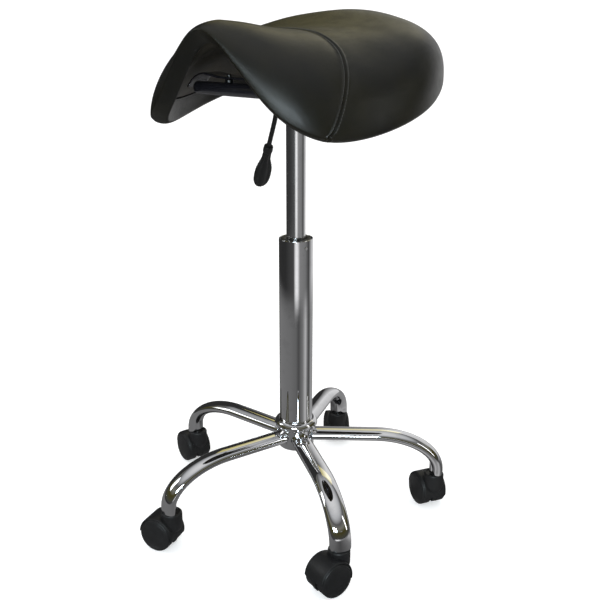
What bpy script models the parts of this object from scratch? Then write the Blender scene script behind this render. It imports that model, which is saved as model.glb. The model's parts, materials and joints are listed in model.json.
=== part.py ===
"""Saddle stool: a five-leg castor base, a gas column and a leatherette saddle seat.

Metres, +Z up. The origin is on the floor, on the column's axis.
The seat faces -Y, and one leg lies along -X.
"""

from math import cos, pi, radians, sin, sqrt

import bmesh
import bpy
from mathutils import Matrix, Vector

GAP = 0.0003  # clearance between pieces that touch

# Base
LEG_COUNT = 5
FIRST_LEG_DEG = 36.0
LEG_AXIS_Z = 0.1255  # centre line of the level stretch of a leg
LEG_LEVEL_END = 0.125  # radius where the leg starts to bend down
LEG_END_RADIUS = 0.2225
LEG_END_Z = 0.0615
LEG_DROP_Z = 0.0675  # the bend ends here, and the tube runs straight down below
LEG_HALF_WIDTH = 0.0155
LEG_HALF_HEIGHT = 0.0090
LEG_WALL = 0.0018
HUB_RADIUS = 0.0275
HUB_COLLAR_RADIUS = 0.0335
HUB_BOTTOM = 0.1065
HUB_TOP = 0.153
HUB_FLOOR = 0.112

# Castors
WHEEL_RADIUS = 0.025
WHEEL_INNER_FACE = 0.0042
WHEEL_OUTER_FACE = 0.0205
WHEEL_CROWN = 0.0230
HOOD_RADIUS = 0.0276
HOOD_HALF_WIDTH = 0.0192
HOOD_TOP = 0.0605
COLLAR_RADIUS = 0.0155
CASTOR_TRAIL = 0.018
STEM_CIRCLE = 0.2180
STEM_RADIUS = 0.0052
AXLE_RADIUS = 0.0035
SOCKET_RADIUS = 0.0076
SOCKET_BORE = 0.0056
SOCKET_TOP = 0.0905
CASTOR_HEADINGS_DEG = (150.0, 133.0, 163.0, 193.0, 255.0)

# Column
TUBE_RADIUS = 0.025
TUBE_WALL = 0.0016
TUBE_TOP = 0.440
BUSH_BOTTOM = 0.405
CYLINDER_RADIUS = 0.014
CYLINDER_BOTTOM = 0.345
CYLINDER_TOP = 0.655
CYLINDER_BORE = 0.0118
ROD_RADIUS = 0.005
CLIP_RADIUS = 0.0095
RIVET_DEG = -15.6
RIVET_Z = 0.429

# Mechanism
PLATE_Z = 0.6545
PLATE_THICKNESS = 0.0026
PLATE_HALF_WIDTH = 0.046
PLATE_FRONT = -0.113
PLATE_REAR = 0.104
ROLL_RADIUS = 0.0070
ROLL_HALF_LENGTH = 0.072
STRAP_Z = 0.6685
STRAP_THICKNESS = 0.003
BOLT_RADIUS = 0.003
BOLT_X = 0.033
BOLT_YS = (-0.098, 0.078)

# Lever
LEVER_DEG = 150.0
LEVER_PIVOT = 0.035
LEVER_Z = 0.6630
LEVER_RADIUS = 0.0036
# The rod's centre line from the pivot, as (out, up)
LEVER_LINE = (
    (-0.010, 0.0),
    (0.000, 0.0),
    (0.018, 0.0),
    (0.0245, -0.0014),
    (0.0305, -0.0070),
    (0.0352, -0.0190),
    (0.0402, -0.0400),
    (0.0466, -0.0590),
    (0.0560, -0.0745),
    (0.0770, -0.1060),
    (0.1090, -0.1567),
)
GRIP_START = (0.0770, -0.1060)
GRIP_SLOPE_DEG = 57.7
BUTTON_RADIUS = 0.0032

# Seat: the widest line of the rim and the rim's inner edge, right-hand half from front to rear
RIM_OUTER = (
    (0.000, -0.188, 0.735),
    (0.034, -0.182, 0.710),
    (0.073, -0.175, 0.668),
    (0.103, -0.165, 0.636),
    (0.128, -0.151, 0.624),
    (0.150, -0.127, 0.611),
    (0.174, -0.075, 0.611),
    (0.191, 0.000, 0.627),
    (0.182, 0.060, 0.642),
    (0.160, 0.118, 0.657),
    (0.127, 0.172, 0.675),
    (0.070, 0.204, 0.688),
    (0.000, 0.214, 0.692),
)
RIM_INNER = (
    (0.000, -0.170, 0.719),
    (0.027, -0.165, 0.700),
    (0.057, -0.158, 0.667),
    (0.084, -0.149, 0.638),
    (0.108, -0.136, 0.622),
    (0.128, -0.116, 0.610),
    (0.151, -0.070, 0.610),
    (0.168, 0.000, 0.625),
    (0.158, 0.056, 0.640),
    (0.137, 0.106, 0.654),
    (0.106, 0.151, 0.671),
    (0.058, 0.179, 0.684),
    (0.000, 0.187, 0.688),
)
# Height of the seat's centre line, as (y, z)
SPINE = (
    (-0.150, 0.742),
    (-0.110, 0.739),
    (-0.070, 0.733),
    (-0.030, 0.730),
    (0.010, 0.731),
    (0.040, 0.738),
    (0.080, 0.750),
    (0.120, 0.754),
    (0.140, 0.753),
)
UNDER_SPINE = ((-0.135, 0.7185), (-0.060, 0.7060), (0.020, 0.6950), (0.080, 0.6930), (0.130, 0.6965))
UNDER_FULLNESS = 0.88
UNDER_REACH = 1.0
# Below 1 the arcs from the rim to the centre line stand fuller than an ellipse, above 1 they are hollower
OUTER_FULLNESS = (
    (-0.190, 1.22),
    (-0.130, 1.16),
    (-0.070, 1.02),
    (-0.020, 0.92),
    (0.030, 0.70),
    (0.070, 0.58),
    (0.110, 0.62),
    (0.150, 0.80),
    (0.190, 0.96),
    (0.215, 0.90),
)
LIP_DEPTH = 0.0070
SHELL_THICKNESS = 0.006
LINING_THICKNESS = 0.0018
RIM_POINTS = 44


# ---------------------------------------------------------------- helpers

def clear_scene():
    for obj in list(bpy.data.objects):
        bpy.data.objects.remove(obj, do_unlink=True)


def material(name, colour, roughness, metallic=0.0):
    made = bpy.data.materials.new(name)
    made.use_nodes = True
    shader = made.node_tree.nodes["Principled BSDF"]
    shader.inputs["Base Color"].default_value = (*colour, 1.0)
    shader.inputs["Roughness"].default_value = roughness
    shader.inputs["Metallic"].default_value = metallic
    return made


def empty(name, matrix, parent=None):
    made = bpy.data.objects.new(name, None)
    bpy.context.scene.collection.objects.link(made)
    made.parent = parent
    made.matrix_local = matrix
    return made


def add_object(name, mesh, look, parent=None, matrix=None):
    made = bpy.data.objects.new(name, mesh)
    bpy.context.scene.collection.objects.link(made)
    if look and not mesh.materials:
        mesh.materials.append(look)
    made.parent = parent
    if matrix is not None:
        made.matrix_local = matrix
    return made


def mesh_from(shape, name):
    """Finish a bmesh: weld, face outwards, shade smooth with sharp edges kept."""
    bmesh.ops.remove_doubles(shape, verts=shape.verts, dist=1e-6)
    bmesh.ops.recalc_face_normals(shape, faces=shape.faces)
    if shape.calc_volume(signed=True) < 0:
        bmesh.ops.reverse_faces(shape, faces=shape.faces)
    mesh = bpy.data.meshes.new(name)
    shape.to_mesh(mesh)
    shape.free()
    mesh.shade_smooth()
    mesh.set_sharp_from_angle(angle=radians(35))
    return mesh


def turned(name, profile, steps, closed=False):
    """A profile of (radius, z) points spun once round Z; closed joins its last point to its first."""
    shape = bmesh.new()
    points = [shape.verts.new((r, 0.0, z)) for r, z in profile]
    pairs = list(zip(points, points[1:]))
    if closed:
        pairs.append((points[-1], points[0]))
    edges = [shape.edges.new(pair) for pair in pairs]
    bmesh.ops.spin(shape, geom=points + edges, axis=(0, 0, 1), cent=(0, 0, 0), angle=2 * pi, steps=steps)
    return mesh_from(shape, name)


def box(name, low, high, bevel=0.0, segments=2):
    shape = bmesh.new()
    bmesh.ops.create_cube(shape, size=1.0)
    low, high = Vector(low), Vector(high)
    for vert in shape.verts:
        vert.co = Vector([low[i] + (vert.co[i] + 0.5) * (high[i] - low[i]) for i in range(3)])
    if bevel:
        upright = [e for e in shape.edges if abs((e.verts[0].co - e.verts[1].co).normalized().z) > 0.9]
        bmesh.ops.bevel(shape, geom=upright, offset=bevel, segments=segments, affect="EDGES", profile=0.5)
    return mesh_from(shape, name)


def rod_mesh(name, radius, start, end, steps=12):
    """A plain round bar between two points."""
    start, end = Vector(start), Vector(end)
    mesh = turned(
        name, ((0, 0), (radius, 0), (radius, (end - start).length), (0, (end - start).length)), steps
    )
    turn = Vector((0, 0, 1)).rotation_difference(end - start).to_matrix().to_4x4()
    mesh.transform(Matrix.Translation(start) @ turn)
    return mesh


def section_ring(shape, centre, across, up, half_width, half_height, count):
    """One oval ring of vertices: the section of a tube."""
    ring = []
    for i in range(count):
        a = 2 * pi * i / count
        ring.append(shape.verts.new(centre + across * (half_width * cos(a)) + up * (half_height * sin(a))))
    return ring


def lofted(name, rings_of, caps=True):
    """Join rings of vertices, each made by rings_of(shape), one after another, and cap both ends."""
    shape = bmesh.new()
    rings = rings_of(shape)
    count = len(rings[0])
    for a, b in zip(rings, rings[1:]):
        for i in range(count):
            j = (i + 1) % count
            shape.faces.new((a[i], a[j], b[j], b[i]))
    if caps:
        shape.faces.new(rings[0])
        shape.faces.new(rings[-1])
        bmesh.ops.triangulate(shape, faces=[f for f in shape.faces if len(f.verts) > 4])
    return mesh_from(shape, name)


def swept(name, path, half_width, half_height, count, across):
    """An oval section carried along a path that lies in the plane whose normal is across."""
    def rings_of(shape):
        rings = []
        for i, point in enumerate(path):
            before, after = path[max(i - 1, 0)], path[min(i + 1, len(path) - 1)]
            along = (after - before).normalized()
            rings.append(
                section_ring(shape, point, across, along.cross(across), half_width, half_height, count)
            )
        return rings
    return lofted(name, rings_of)


def cutter(name, mesh, parent=None, matrix=None):
    made = add_object(name, mesh, None, parent, matrix)
    made.hide_render = True
    made.display_type = "WIRE"
    return made


def boolean(obj, other, operation="DIFFERENCE"):
    step = obj.modifiers.new(operation.lower(), "BOOLEAN")
    step.operation = operation
    step.object = other
    step.solver = "EXACT"


def joined(mesh_list, name):
    """One mesh with the Boolean union of several."""
    objects = [add_object(f"{name}_{i}", mesh, None) for i, mesh in enumerate(mesh_list)]
    for other in objects[1:]:
        boolean(objects[0], other, "UNION")
    graph = bpy.context.evaluated_depsgraph_get()
    made = bpy.data.meshes.new_from_object(objects[0].evaluated_get(graph))
    made.name = name
    for obj in objects:
        bpy.data.objects.remove(obj, do_unlink=True)
    return made


def turn_z(degrees):
    return Matrix.Rotation(radians(degrees), 4, "Z")


def at(x, y, z):
    return Matrix.Translation((x, y, z))


# ---------------------------------------------------------------- base

def leg_path(level_points, bend_points):
    """Level from the hub, then a quarter ellipse down, then straight to the cut end, all in the XZ plane."""
    start = HUB_RADIUS - 0.008
    path = []
    for i in range(level_points):
        path.append(Vector((start + (LEG_LEVEL_END - start) * i / level_points, 0.0, LEG_AXIS_Z)))
    reach = LEG_END_RADIUS - LEG_LEVEL_END
    drop = LEG_AXIS_Z - LEG_DROP_Z
    for i in range(bend_points + 1):
        a = pi / 2 * i / bend_points
        path.append(Vector((LEG_LEVEL_END + reach * sin(a), 0.0, LEG_DROP_Z + drop * cos(a))))
    path.append(Vector((LEG_END_RADIUS, 0.0, LEG_END_Z)))
    return path


def make_legs(chrome):
    across = Vector((0.0, 1.0, 0.0))
    outer = swept("leg", leg_path(2, 12), LEG_HALF_WIDTH, LEG_HALF_HEIGHT, 16, across)
    inner_path = leg_path(2, 8)[:-1]
    inner_path[0].x -= 0.01
    inner = swept(
        "leg_hollow", inner_path, LEG_HALF_WIDTH - LEG_WALL, LEG_HALF_HEIGHT - LEG_WALL, 10, across
    )
    hub_clear = turned(
        "hub_clear", ((0, 0.09), (HUB_RADIUS + GAP, 0.09), (HUB_RADIUS + GAP, 0.16), (0, 0.16)), 40
    )
    hole = SOCKET_RADIUS + GAP
    sleeve_top = SOCKET_TOP + GAP
    bore = turned("sleeve_clear", ((0, 0.05), (hole, 0.05), (hole, sleeve_top), (0, sleeve_top)), 16)
    sleeve = turned(
        "socket",
        (
            (SOCKET_BORE, LEG_END_Z),
            (SOCKET_RADIUS, LEG_END_Z),
            (SOCKET_RADIUS, SOCKET_TOP),
            (SOCKET_BORE, SOCKET_TOP),
        ),
        16,
        closed=True,
    )
    for k in range(LEG_COUNT):
        frame = turn_z(FIRST_LEG_DEG + 360 / LEG_COUNT * k)
        leg = add_object(f"leg_tube_{k + 1}", outer, chrome, matrix=frame)
        boolean(leg, cutter(f"cut_hollow_{k + 1}", inner, matrix=frame))
        boolean(leg, cutter(f"cut_hub_{k + 1}", hub_clear))
        boolean(leg, cutter(f"cut_sleeve_{k + 1}", bore, matrix=frame @ at(STEM_CIRCLE, 0, 0)))
        add_object(f"castor_socket_{k + 1}", sleeve, chrome, matrix=frame @ at(STEM_CIRCLE, 0, 0))


def make_hub(chrome):
    bore = TUBE_RADIUS + GAP
    profile = (
        (ROD_RADIUS + 0.0006, HUB_BOTTOM + 0.002),
        (CLIP_RADIUS + 0.001, HUB_BOTTOM + 0.002),
        (CLIP_RADIUS + 0.001, HUB_BOTTOM),
        (HUB_RADIUS - 0.003, HUB_BOTTOM),
        (HUB_RADIUS - 0.0008, HUB_BOTTOM + 0.0010),
        (HUB_RADIUS, HUB_BOTTOM + 0.0035),
        (HUB_RADIUS, HUB_TOP - 0.016),
        (HUB_COLLAR_RADIUS - 0.0012, HUB_TOP - 0.0115),
        (HUB_COLLAR_RADIUS, HUB_TOP - 0.0085),
        (HUB_COLLAR_RADIUS - 0.001, HUB_TOP - 0.004),
        (bore + 0.0035, HUB_TOP),
        (bore, HUB_TOP),
        (bore, HUB_FLOOR),
        (ROD_RADIUS + 0.0006, HUB_FLOOR),
    )
    add_object("hub", turned("hub", profile, 40, closed=True), chrome)


def ring(name, inner, outer, low, high, steps=24):
    profile = ((inner, low), (outer, low), (outer, high), (inner, high))
    return turned(name, profile, steps, closed=True)


def make_column(chrome, steel, black_plastic, rubber):
    tube_inner = TUBE_RADIUS - TUBE_WALL
    tube = add_object(
        "column_tube", ring("column_tube", tube_inner, TUBE_RADIUS, HUB_FLOOR + GAP, TUBE_TOP, 40), chrome
    )
    bush_profile = (
        (CYLINDER_RADIUS + 0.0002, BUSH_BOTTOM),
        (tube_inner - GAP, BUSH_BOTTOM),
        (tube_inner - GAP, TUBE_TOP - 0.002),
        (tube_inner - 0.003, TUBE_TOP - 0.0005),
        (CYLINDER_RADIUS + 0.0016, TUBE_TOP - 0.0005),
        (CYLINDER_RADIUS + 0.0002, TUBE_TOP - 0.0030),
    )
    bush = add_object("guide_bush", turned("guide_bush", bush_profile, 32, closed=True), black_plastic)
    rivet_frame = turn_z(RIVET_DEG) @ at(0, 0, RIVET_Z) @ Matrix.Rotation(pi / 2, 4, "Y")
    hole = turned("rivet_hole", ((0, 0.0195), (0.0016, 0.0195), (0.0016, 0.03), (0, 0.03)), 12)
    drill = cutter("cut_rivet", hole, matrix=rivet_frame)
    boolean(tube, drill)
    boolean(bush, drill)
    head = TUBE_RADIUS + GAP
    rivet = turned(
        "rivet",
        (
            (0, 0.0200),
            (0.0012, 0.0200),
            (0.0012, head),
            (0.0022, head),
            (0.0018, head + 0.0006),
            (0, head + 0.0008),
        ),
        12,
    )
    add_object("bush_rivet", rivet, chrome, matrix=rivet_frame)

    lower = HUB_FLOOR + GAP
    add_object(
        "bearing_lower_race", ring("bearing_lower_race", 0.0060, 0.0120, lower, lower + 0.0045), steel
    )
    upper = lower + 0.0048
    add_object(
        "bearing_upper_race",
        ring("bearing_upper_race", ROD_RADIUS + GAP, 0.0120, upper, upper + 0.0015),
        steel,
    )
    buffer_low = upper + 0.0018
    add_object(
        "rubber_buffer",
        ring("rubber_buffer", ROD_RADIUS + GAP, 0.0125, buffer_low, buffer_low + 0.009),
        rubber,
    )
    rod = turned(
        "piston_rod",
        (
            (0, 0.1010),
            (0.0035, 0.1010),
            (ROD_RADIUS, 0.1025),
            (ROD_RADIUS, 0.3565),
            (0.0114, 0.3565),
            (0.0114, 0.3680),
            (0, 0.3680),
        ),
        20,
    )
    add_object("piston_rod", rod, steel)
    clip_top = HUB_BOTTOM + 0.002 - GAP
    add_object(
        "retaining_clip",
        ring("retaining_clip", ROD_RADIUS + GAP, CLIP_RADIUS, clip_top - 0.0014, clip_top),
        steel,
    )

    cylinder = (
        (ROD_RADIUS + GAP, CYLINDER_BOTTOM),
        (CYLINDER_RADIUS - 0.001, CYLINDER_BOTTOM),
        (CYLINDER_RADIUS, CYLINDER_BOTTOM + 0.002),
        (CYLINDER_RADIUS, 0.6150),
        (CYLINDER_RADIUS - 0.0012, CYLINDER_TOP),
        (BUTTON_RADIUS + GAP, CYLINDER_TOP),
        (BUTTON_RADIUS + GAP, CYLINDER_TOP - 0.012),
        (CYLINDER_BORE, CYLINDER_TOP - 0.014),
        (CYLINDER_BORE, CYLINDER_BOTTOM + 0.009),
        (ROD_RADIUS + GAP, CYLINDER_BOTTOM + 0.008),
    )
    add_object("gas_cylinder", turned("gas_cylinder", cylinder, 28, closed=True), steel)
    button = turned(
        "release_button",
        (
            (0, 0.6440),
            (BUTTON_RADIUS, 0.6440),
            (BUTTON_RADIUS, 0.6605),
            (BUTTON_RADIUS - 0.001, 0.6612),
            (0, 0.6612),
        ),
        14,
    )
    add_object("release_button", button, black_plastic)


# ---------------------------------------------------------------- castors

def cylinder_across(name, radius, low, high, steps, centre_x=0.0, centre_z=0.0):
    """A solid cylinder along Y."""
    mesh = turned(name, ((0, low), (radius, low), (radius, high), (0, high)), steps)
    mesh.transform(at(centre_x, 0, centre_z) @ Matrix.Rotation(-pi / 2, 4, "X"))
    return mesh


def hood_mesh():
    """A cover over both wheels: a drum cut off below, a web between the wheels and a round collar on top.

    Its frame is on the stem's axis at the floor, with the wheels behind it towards +X.
    """
    axle = (CASTOR_TRAIL, WHEEL_RADIUS)
    drum = cylinder_across("drum", HOOD_RADIUS, -HOOD_HALF_WIDTH, HOOD_HALF_WIDTH, 28, *axle)
    collar = turned(
        "collar",
        (
            (0, 0.030),
            (COLLAR_RADIUS, 0.030),
            (COLLAR_RADIUS, HOOD_TOP - 0.0025),
            (COLLAR_RADIUS - 0.0015, HOOD_TOP),
            (0, HOOD_TOP),
        ),
        24,
    )
    hood = add_object("hood_work", joined([drum, collar], "hood_body"), None)
    cut_meshes = [
        box("below", (-0.05, -0.05, -0.03), (0.10, 0.05, 0.0105)),
        cylinder_across("wheel_room", WHEEL_RADIUS + 0.0007, WHEEL_INNER_FACE - 0.0006, 0.05, 28, *axle),
        cylinder_across("wheel_room", WHEEL_RADIUS + 0.0007, -0.05, 0.0006 - WHEEL_INNER_FACE, 28, *axle),
        cylinder_across("axle_room", AXLE_RADIUS + GAP, -0.02, 0.02, 14, *axle),
        turned(
            "stem_room", ((0, 0.042), (STEM_RADIUS + GAP, 0.042), (STEM_RADIUS + GAP, 0.08), (0, 0.08)), 16
        ),
    ]
    cuts = [add_object("hood_cut", mesh, None) for mesh in cut_meshes]
    for cut in cuts:
        boolean(hood, cut)
    graph = bpy.context.evaluated_depsgraph_get()
    made = bpy.data.meshes.new_from_object(hood.evaluated_get(graph))
    made.name = "castor_hood"
    for obj in [hood] + cuts:
        bpy.data.objects.remove(obj, do_unlink=True)
    made.shade_smooth()
    made.set_sharp_from_angle(angle=radians(35))
    return made


def make_castors(black_plastic, steel):
    hood = hood_mesh()
    bore = AXLE_RADIUS + 0.0004
    wheel = turned(
        "castor_wheel",
        (
            (0.0, WHEEL_CROWN),
            (0.012, WHEEL_CROWN - 0.0006),
            (WHEEL_RADIUS - 0.0015, WHEEL_OUTER_FACE),
            (WHEEL_RADIUS, WHEEL_OUTER_FACE - 0.0015),
            (WHEEL_RADIUS, WHEEL_INNER_FACE + 0.002),
            (WHEEL_RADIUS - 0.002, WHEEL_INNER_FACE),
            (bore, WHEEL_INNER_FACE),
            (bore, WHEEL_OUTER_FACE - 0.003),
            (0.0, WHEEL_OUTER_FACE - 0.003),
        ),
        24,
    )
    axle_half = WHEEL_OUTER_FACE - 0.0035
    axle = turned(
        "axle", ((0, -axle_half), (AXLE_RADIUS, -axle_half), (AXLE_RADIUS, axle_half), (0, axle_half)), 12
    )
    stem = turned(
        "stem",
        (
            (0, 0.0425),
            (STEM_RADIUS, 0.0425),
            (STEM_RADIUS, 0.0860),
            (STEM_RADIUS - 0.001, 0.0870),
            (0, 0.0870),
        ),
        16,
    )
    for k, heading in enumerate(CASTOR_HEADINGS_DEG):
        n = k + 1
        leg_angle = radians(FIRST_LEG_DEG + 360 / LEG_COUNT * k)
        place = at(STEM_CIRCLE * cos(leg_angle), STEM_CIRCLE * sin(leg_angle), 0) @ turn_z(heading)
        swivel = empty(f"castor_swivel_{n}", place)
        add_object(f"castor_hood_{n}", hood, black_plastic, swivel)
        add_object(f"castor_stem_{n}", stem, steel, swivel)
        axle_frame = at(CASTOR_TRAIL, 0, WHEEL_RADIUS)
        add_object(f"castor_axle_{n}", axle, steel, swivel, axle_frame @ Matrix.Rotation(pi / 2, 4, "X"))
        for side, turn in (("left", -pi / 2), ("right", pi / 2)):
            add_object(
                f"castor_wheel_{side}_{n}", wheel, black_plastic, swivel, axle_frame @ Matrix.Rotation(
                    turn, 4, "X"
                )
            )


# ---------------------------------------------------------------- mechanism

def strap_mesh(name, half_profile, y_low, y_high):
    """A pressed strap: a profile of (x, z) points along its underside, mirrored, with an even thickness."""
    points = [(-x, z) for x, z in reversed(half_profile)] + list(half_profile)[1:]
    shape = bmesh.new()
    rings = []
    for i, (x, z) in enumerate(points):
        before, after = points[max(i - 1, 0)], points[min(i + 1, len(points) - 1)]
        along = Vector((after[0] - before[0], 0, after[1] - before[1])).normalized()
        up = Vector((-along.z, 0, along.x)) * STRAP_THICKNESS
        low = Vector((x, 0, z))
        corners = ((low, y_low), (low, y_high), (low + up, y_high), (low + up, y_low))
        rings.append([shape.verts.new((p.x, y, p.z)) for p, y in corners])
    for a, b in zip(rings, rings[1:]):
        for i in range(4):
            j = (i + 1) % 4
            shape.faces.new((a[i], a[j], b[j], b[i]))
    shape.faces.new(rings[0])
    shape.faces.new(rings[-1])
    return mesh_from(shape, name)


def make_mechanism(black_steel, steel, parent):
    plate_top = PLATE_Z + PLATE_THICKNESS
    sheet = box(
        "sheet",
        (-PLATE_HALF_WIDTH, PLATE_FRONT, PLATE_Z),
        (PLATE_HALF_WIDTH, PLATE_REAR, plate_top),
        0.012,
        3,
    )
    roll = turned(
        "roll",
        [
            (ROLL_RADIUS * cos(a), -ROLL_HALF_LENGTH + ROLL_RADIUS * sin(a))
            for a in [-pi / 2 + pi / 6 * i for i in range(4)]
        ]
        + [
            (ROLL_RADIUS * cos(a), ROLL_HALF_LENGTH + ROLL_RADIUS * sin(a))
            for a in [pi / 6 * i for i in range(4)]
        ],
        14,
    )
    roll.transform(at(0, PLATE_FRONT - 0.002, PLATE_Z) @ Matrix.Rotation(pi / 2, 4, "Y"))
    plate = add_object("mechanism_plate", joined([sheet, roll], "mechanism_plate"), black_steel, parent)
    centre_hole = turned("centre_hole", ((0, 0.64), (0.0145, 0.64), (0.0145, 0.68), (0, 0.68)), 24)
    boolean(plate, cutter("cut_plate_centre", centre_hole, parent))

    socket = (
        (CYLINDER_RADIUS + GAP, 0.6190),
        (0.0195, 0.6190),
        (0.0215, 0.6215),
        (0.0215, PLATE_Z - GAP),
        (CYLINDER_RADIUS + GAP, PLATE_Z - GAP),
    )
    add_object("taper_socket", turned("taper_socket", socket, 28, closed=True), black_steel, parent)

    front = (
        (0, STRAP_Z),
        (0.036, STRAP_Z),
        (0.056, 0.6710),
        (0.069, 0.6722),
        (0.079, 0.6695),
        (0.088, 0.6635),
        (0.097, 0.6535),
    )
    rear = ((0, STRAP_Z), (0.040, STRAP_Z), (0.060, 0.6680), (0.085, 0.6660))
    straps = [
        add_object("front_bracket", strap_mesh("front_bracket", front, -0.112, -0.080), black_steel, parent),
        add_object("rear_bracket", strap_mesh("rear_bracket", rear, 0.060, 0.096), black_steel, parent),
    ]
    hole = turned(
        "bolt_hole", ((0, 0.63), (BOLT_RADIUS + GAP, 0.63), (BOLT_RADIUS + GAP, 0.69), (0, 0.69)), 12
    )
    head_top = PLATE_Z - GAP
    spacer_low, spacer_high = plate_top + GAP, STRAP_Z - GAP
    bolt = turned(
        "bolt",
        (
            (0, head_top - 0.0035),
            (0.0050, head_top - 0.0035),
            (0.0056, head_top - 0.0028),
            (0.0056, head_top),
            (BOLT_RADIUS, head_top),
            (BOLT_RADIUS, spacer_low),
            (0.0058, spacer_low),
            (0.0058, spacer_high),
            (BOLT_RADIUS, spacer_high),
            (BOLT_RADIUS, STRAP_Z + STRAP_THICKNESS + 0.0020),
            (0, STRAP_Z + STRAP_THICKNESS + 0.0020),
        ),
        12,
    )
    sides = (("left", BOLT_X), ("right", -BOLT_X))
    for end, y, strap in zip(("front", "rear"), BOLT_YS, straps):
        for side, x in sides:
            place = at(x, y, 0)
            drill = cutter(f"cut_bolt_{end}_{side}", hole, parent, place)
            boolean(plate, drill)
            boolean(strap, drill)
            add_object(f"bracket_bolt_{end}_{side}", bolt, steel, parent, place)


def make_lever(black_steel, black_plastic, parent):
    """The lever's own frame is at its pivot, with the handle out along +X; it turns about Y."""
    pivot = empty("lever_pivot", turn_z(LEVER_DEG) @ at(LEVER_PIVOT, 0, LEVER_Z), parent)
    path = [Vector((out, 0, up)) for out, up in LEVER_LINE]
    slope = radians(GRIP_SLOPE_DEG)
    down = Vector((cos(slope), 0, -sin(slope)))
    rod = swept("rod", path, LEVER_RADIUS, LEVER_RADIUS, 12, Vector((0, 1, 0)))
    tongue = box("tongue", (-LEVER_PIVOT - 0.004, -0.005, -0.0014), (-0.0085, 0.005, 0.0014), 0.002)
    pin = rod_mesh("pin", 0.0022, (0, -0.0115, 0), (0, 0.0115, 0))
    add_object("lever_rod", joined([rod, tongue, pin], "lever_rod"), black_steel, pivot)

    ear_profile_low = PLATE_Z + PLATE_THICKNESS + GAP
    ear_z = ear_profile_low - LEVER_Z
    ears = [
        box("foot", (-0.006, -0.0125, ear_z), (0.006, 0.0125, ear_z + 0.0012)),
        box("ear", (-0.005, -0.0095, ear_z + 0.0002), (0.005, -0.0060, 0.0038)),
        box("ear", (-0.005, 0.0060, ear_z + 0.0002), (0.005, 0.0095, 0.0038)),
    ]
    mount = empty("lever_mount", turn_z(LEVER_DEG) @ at(LEVER_PIVOT, 0, LEVER_Z), parent)
    bracket = add_object("lever_bracket", joined(ears, "lever_bracket"), black_steel, mount)
    boolean(bracket, cutter("cut_pin", rod_mesh("pin_room", 0.0026, (0, -0.02, 0), (0, 0.02, 0)), mount))

    grip_start = Vector((GRIP_START[0], 0, GRIP_START[1]))
    stations = (
        (0.000, 0.0064, 0.0064),
        (0.008, 0.0066, 0.0066),
        (0.0095, 0.0052, 0.0052),
        (0.020, 0.0058, 0.0050),
        (0.034, 0.0100, 0.0048),
        (0.050, 0.0128, 0.0048),
        (0.066, 0.0126, 0.0046),
        (0.077, 0.0085, 0.0038),
        (0.083, 0.0030, 0.0022),
    )
    across = Vector((0, 1, 0))
    up = down.cross(across)

    def rings_of(shape):
        return [section_ring(shape, grip_start + down * s, across, up, w, h, 16) for s, w, h in stations]

    handle = add_object("lever_handle", lofted("lever_handle", rings_of), black_plastic, pivot)
    room = rod_mesh("rod_room", LEVER_RADIUS + GAP, grip_start - down * 0.01, path[-1] + down * GAP, 12)
    boolean(handle, cutter("cut_handle", room, pivot))


# ---------------------------------------------------------------- seat

def smooth_curve(points, t):
    """A point on a Catmull-Rom curve through the points, t from 0 to len - 1; the ends run on straight."""
    i = min(int(t), len(points) - 2)
    u = t - i
    p1, p2 = Vector(points[i]), Vector(points[i + 1])
    p0 = Vector(points[i - 1]) if i else p1 * 2 - p2
    p3 = Vector(points[i + 2]) if i + 2 < len(points) else p2 * 2 - p1
    return 0.5 * (
        p1 * 2 + (p2 - p0) * u + (p0 * 2 - p1 * 5 + p2 * 4 - p3) * u**2 + (p1 * 3 - p0 - p2 * 3 + p3) * u**3
    )


def rim_point(half, t):
    """A point on a closed rim; t runs from 0 at the front to 1 at the rear on the right, then back."""
    right = t <= 1.0
    along = (t if right else 2.0 - t) * (len(half) - 1)
    front = (-half[1][0], half[1][1], half[1][2])
    rear = (-half[-2][0], half[-2][1], half[-2][2])
    point = smooth_curve((front,) + tuple(half) + (rear,), along + 1)
    return point if right else Vector((-point.x, point.y, point.z))


def height_on(line, y):
    """Height of a centre line of (y, z) points at y."""
    if y <= line[0][0]:
        return line[0][1]
    for i in range(len(line) - 1):
        if y <= line[i + 1][0]:
            share = (y - line[i][0]) / (line[i + 1][0] - line[i][0])
            return smooth_curve([(0, p[0], p[1]) for p in line], i + share).z
    return line[-1][1]


def stepped(table, y):
    """A value read off a table of (y, value) pairs, straight between them."""
    for (y0, v0), (y1, v1) in zip(table, table[1:]):
        if y <= y1:
            return v0 + (v1 - v0) * max(0.0, (y - y0) / (y1 - y0))
    return table[-1][1]


def arc_ring(rim, line, share, steps, drop=0.0, inset=0.0, outer=False):
    """Points a share of the way up full-bellied arcs that run from the rim to the centre line."""
    y_low, y_high = line[0][0], line[-1][0]
    rim_low, rim_high = rim[0][1], rim[-1][1]
    angle = share * pi / 2
    points = []
    for i in range(steps):
        edge = rim_point(rim, 2.0 * i / steps)
        y = y_low + (y_high - y_low) * (edge.y - rim_low) / (rim_high - rim_low)
        top = Vector((0.0, y, height_on(line, y) - drop))
        flat = Vector((edge.x, edge.y - y, 0.0))
        inward = flat.normalized() * inset if flat.length > inset else flat * 0.0
        rise_power = stepped(OUTER_FULLNESS, edge.y) if outer else UNDER_FULLNESS
        reach_power = rise_power if outer else UNDER_REACH
        reach = (flat - inward) * cos(angle) ** reach_power
        rise = (top.z - edge.z) * sin(angle) ** rise_power
        points.append(Vector((reach.x, y + reach.y, edge.z + rise)))
    return points


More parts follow.
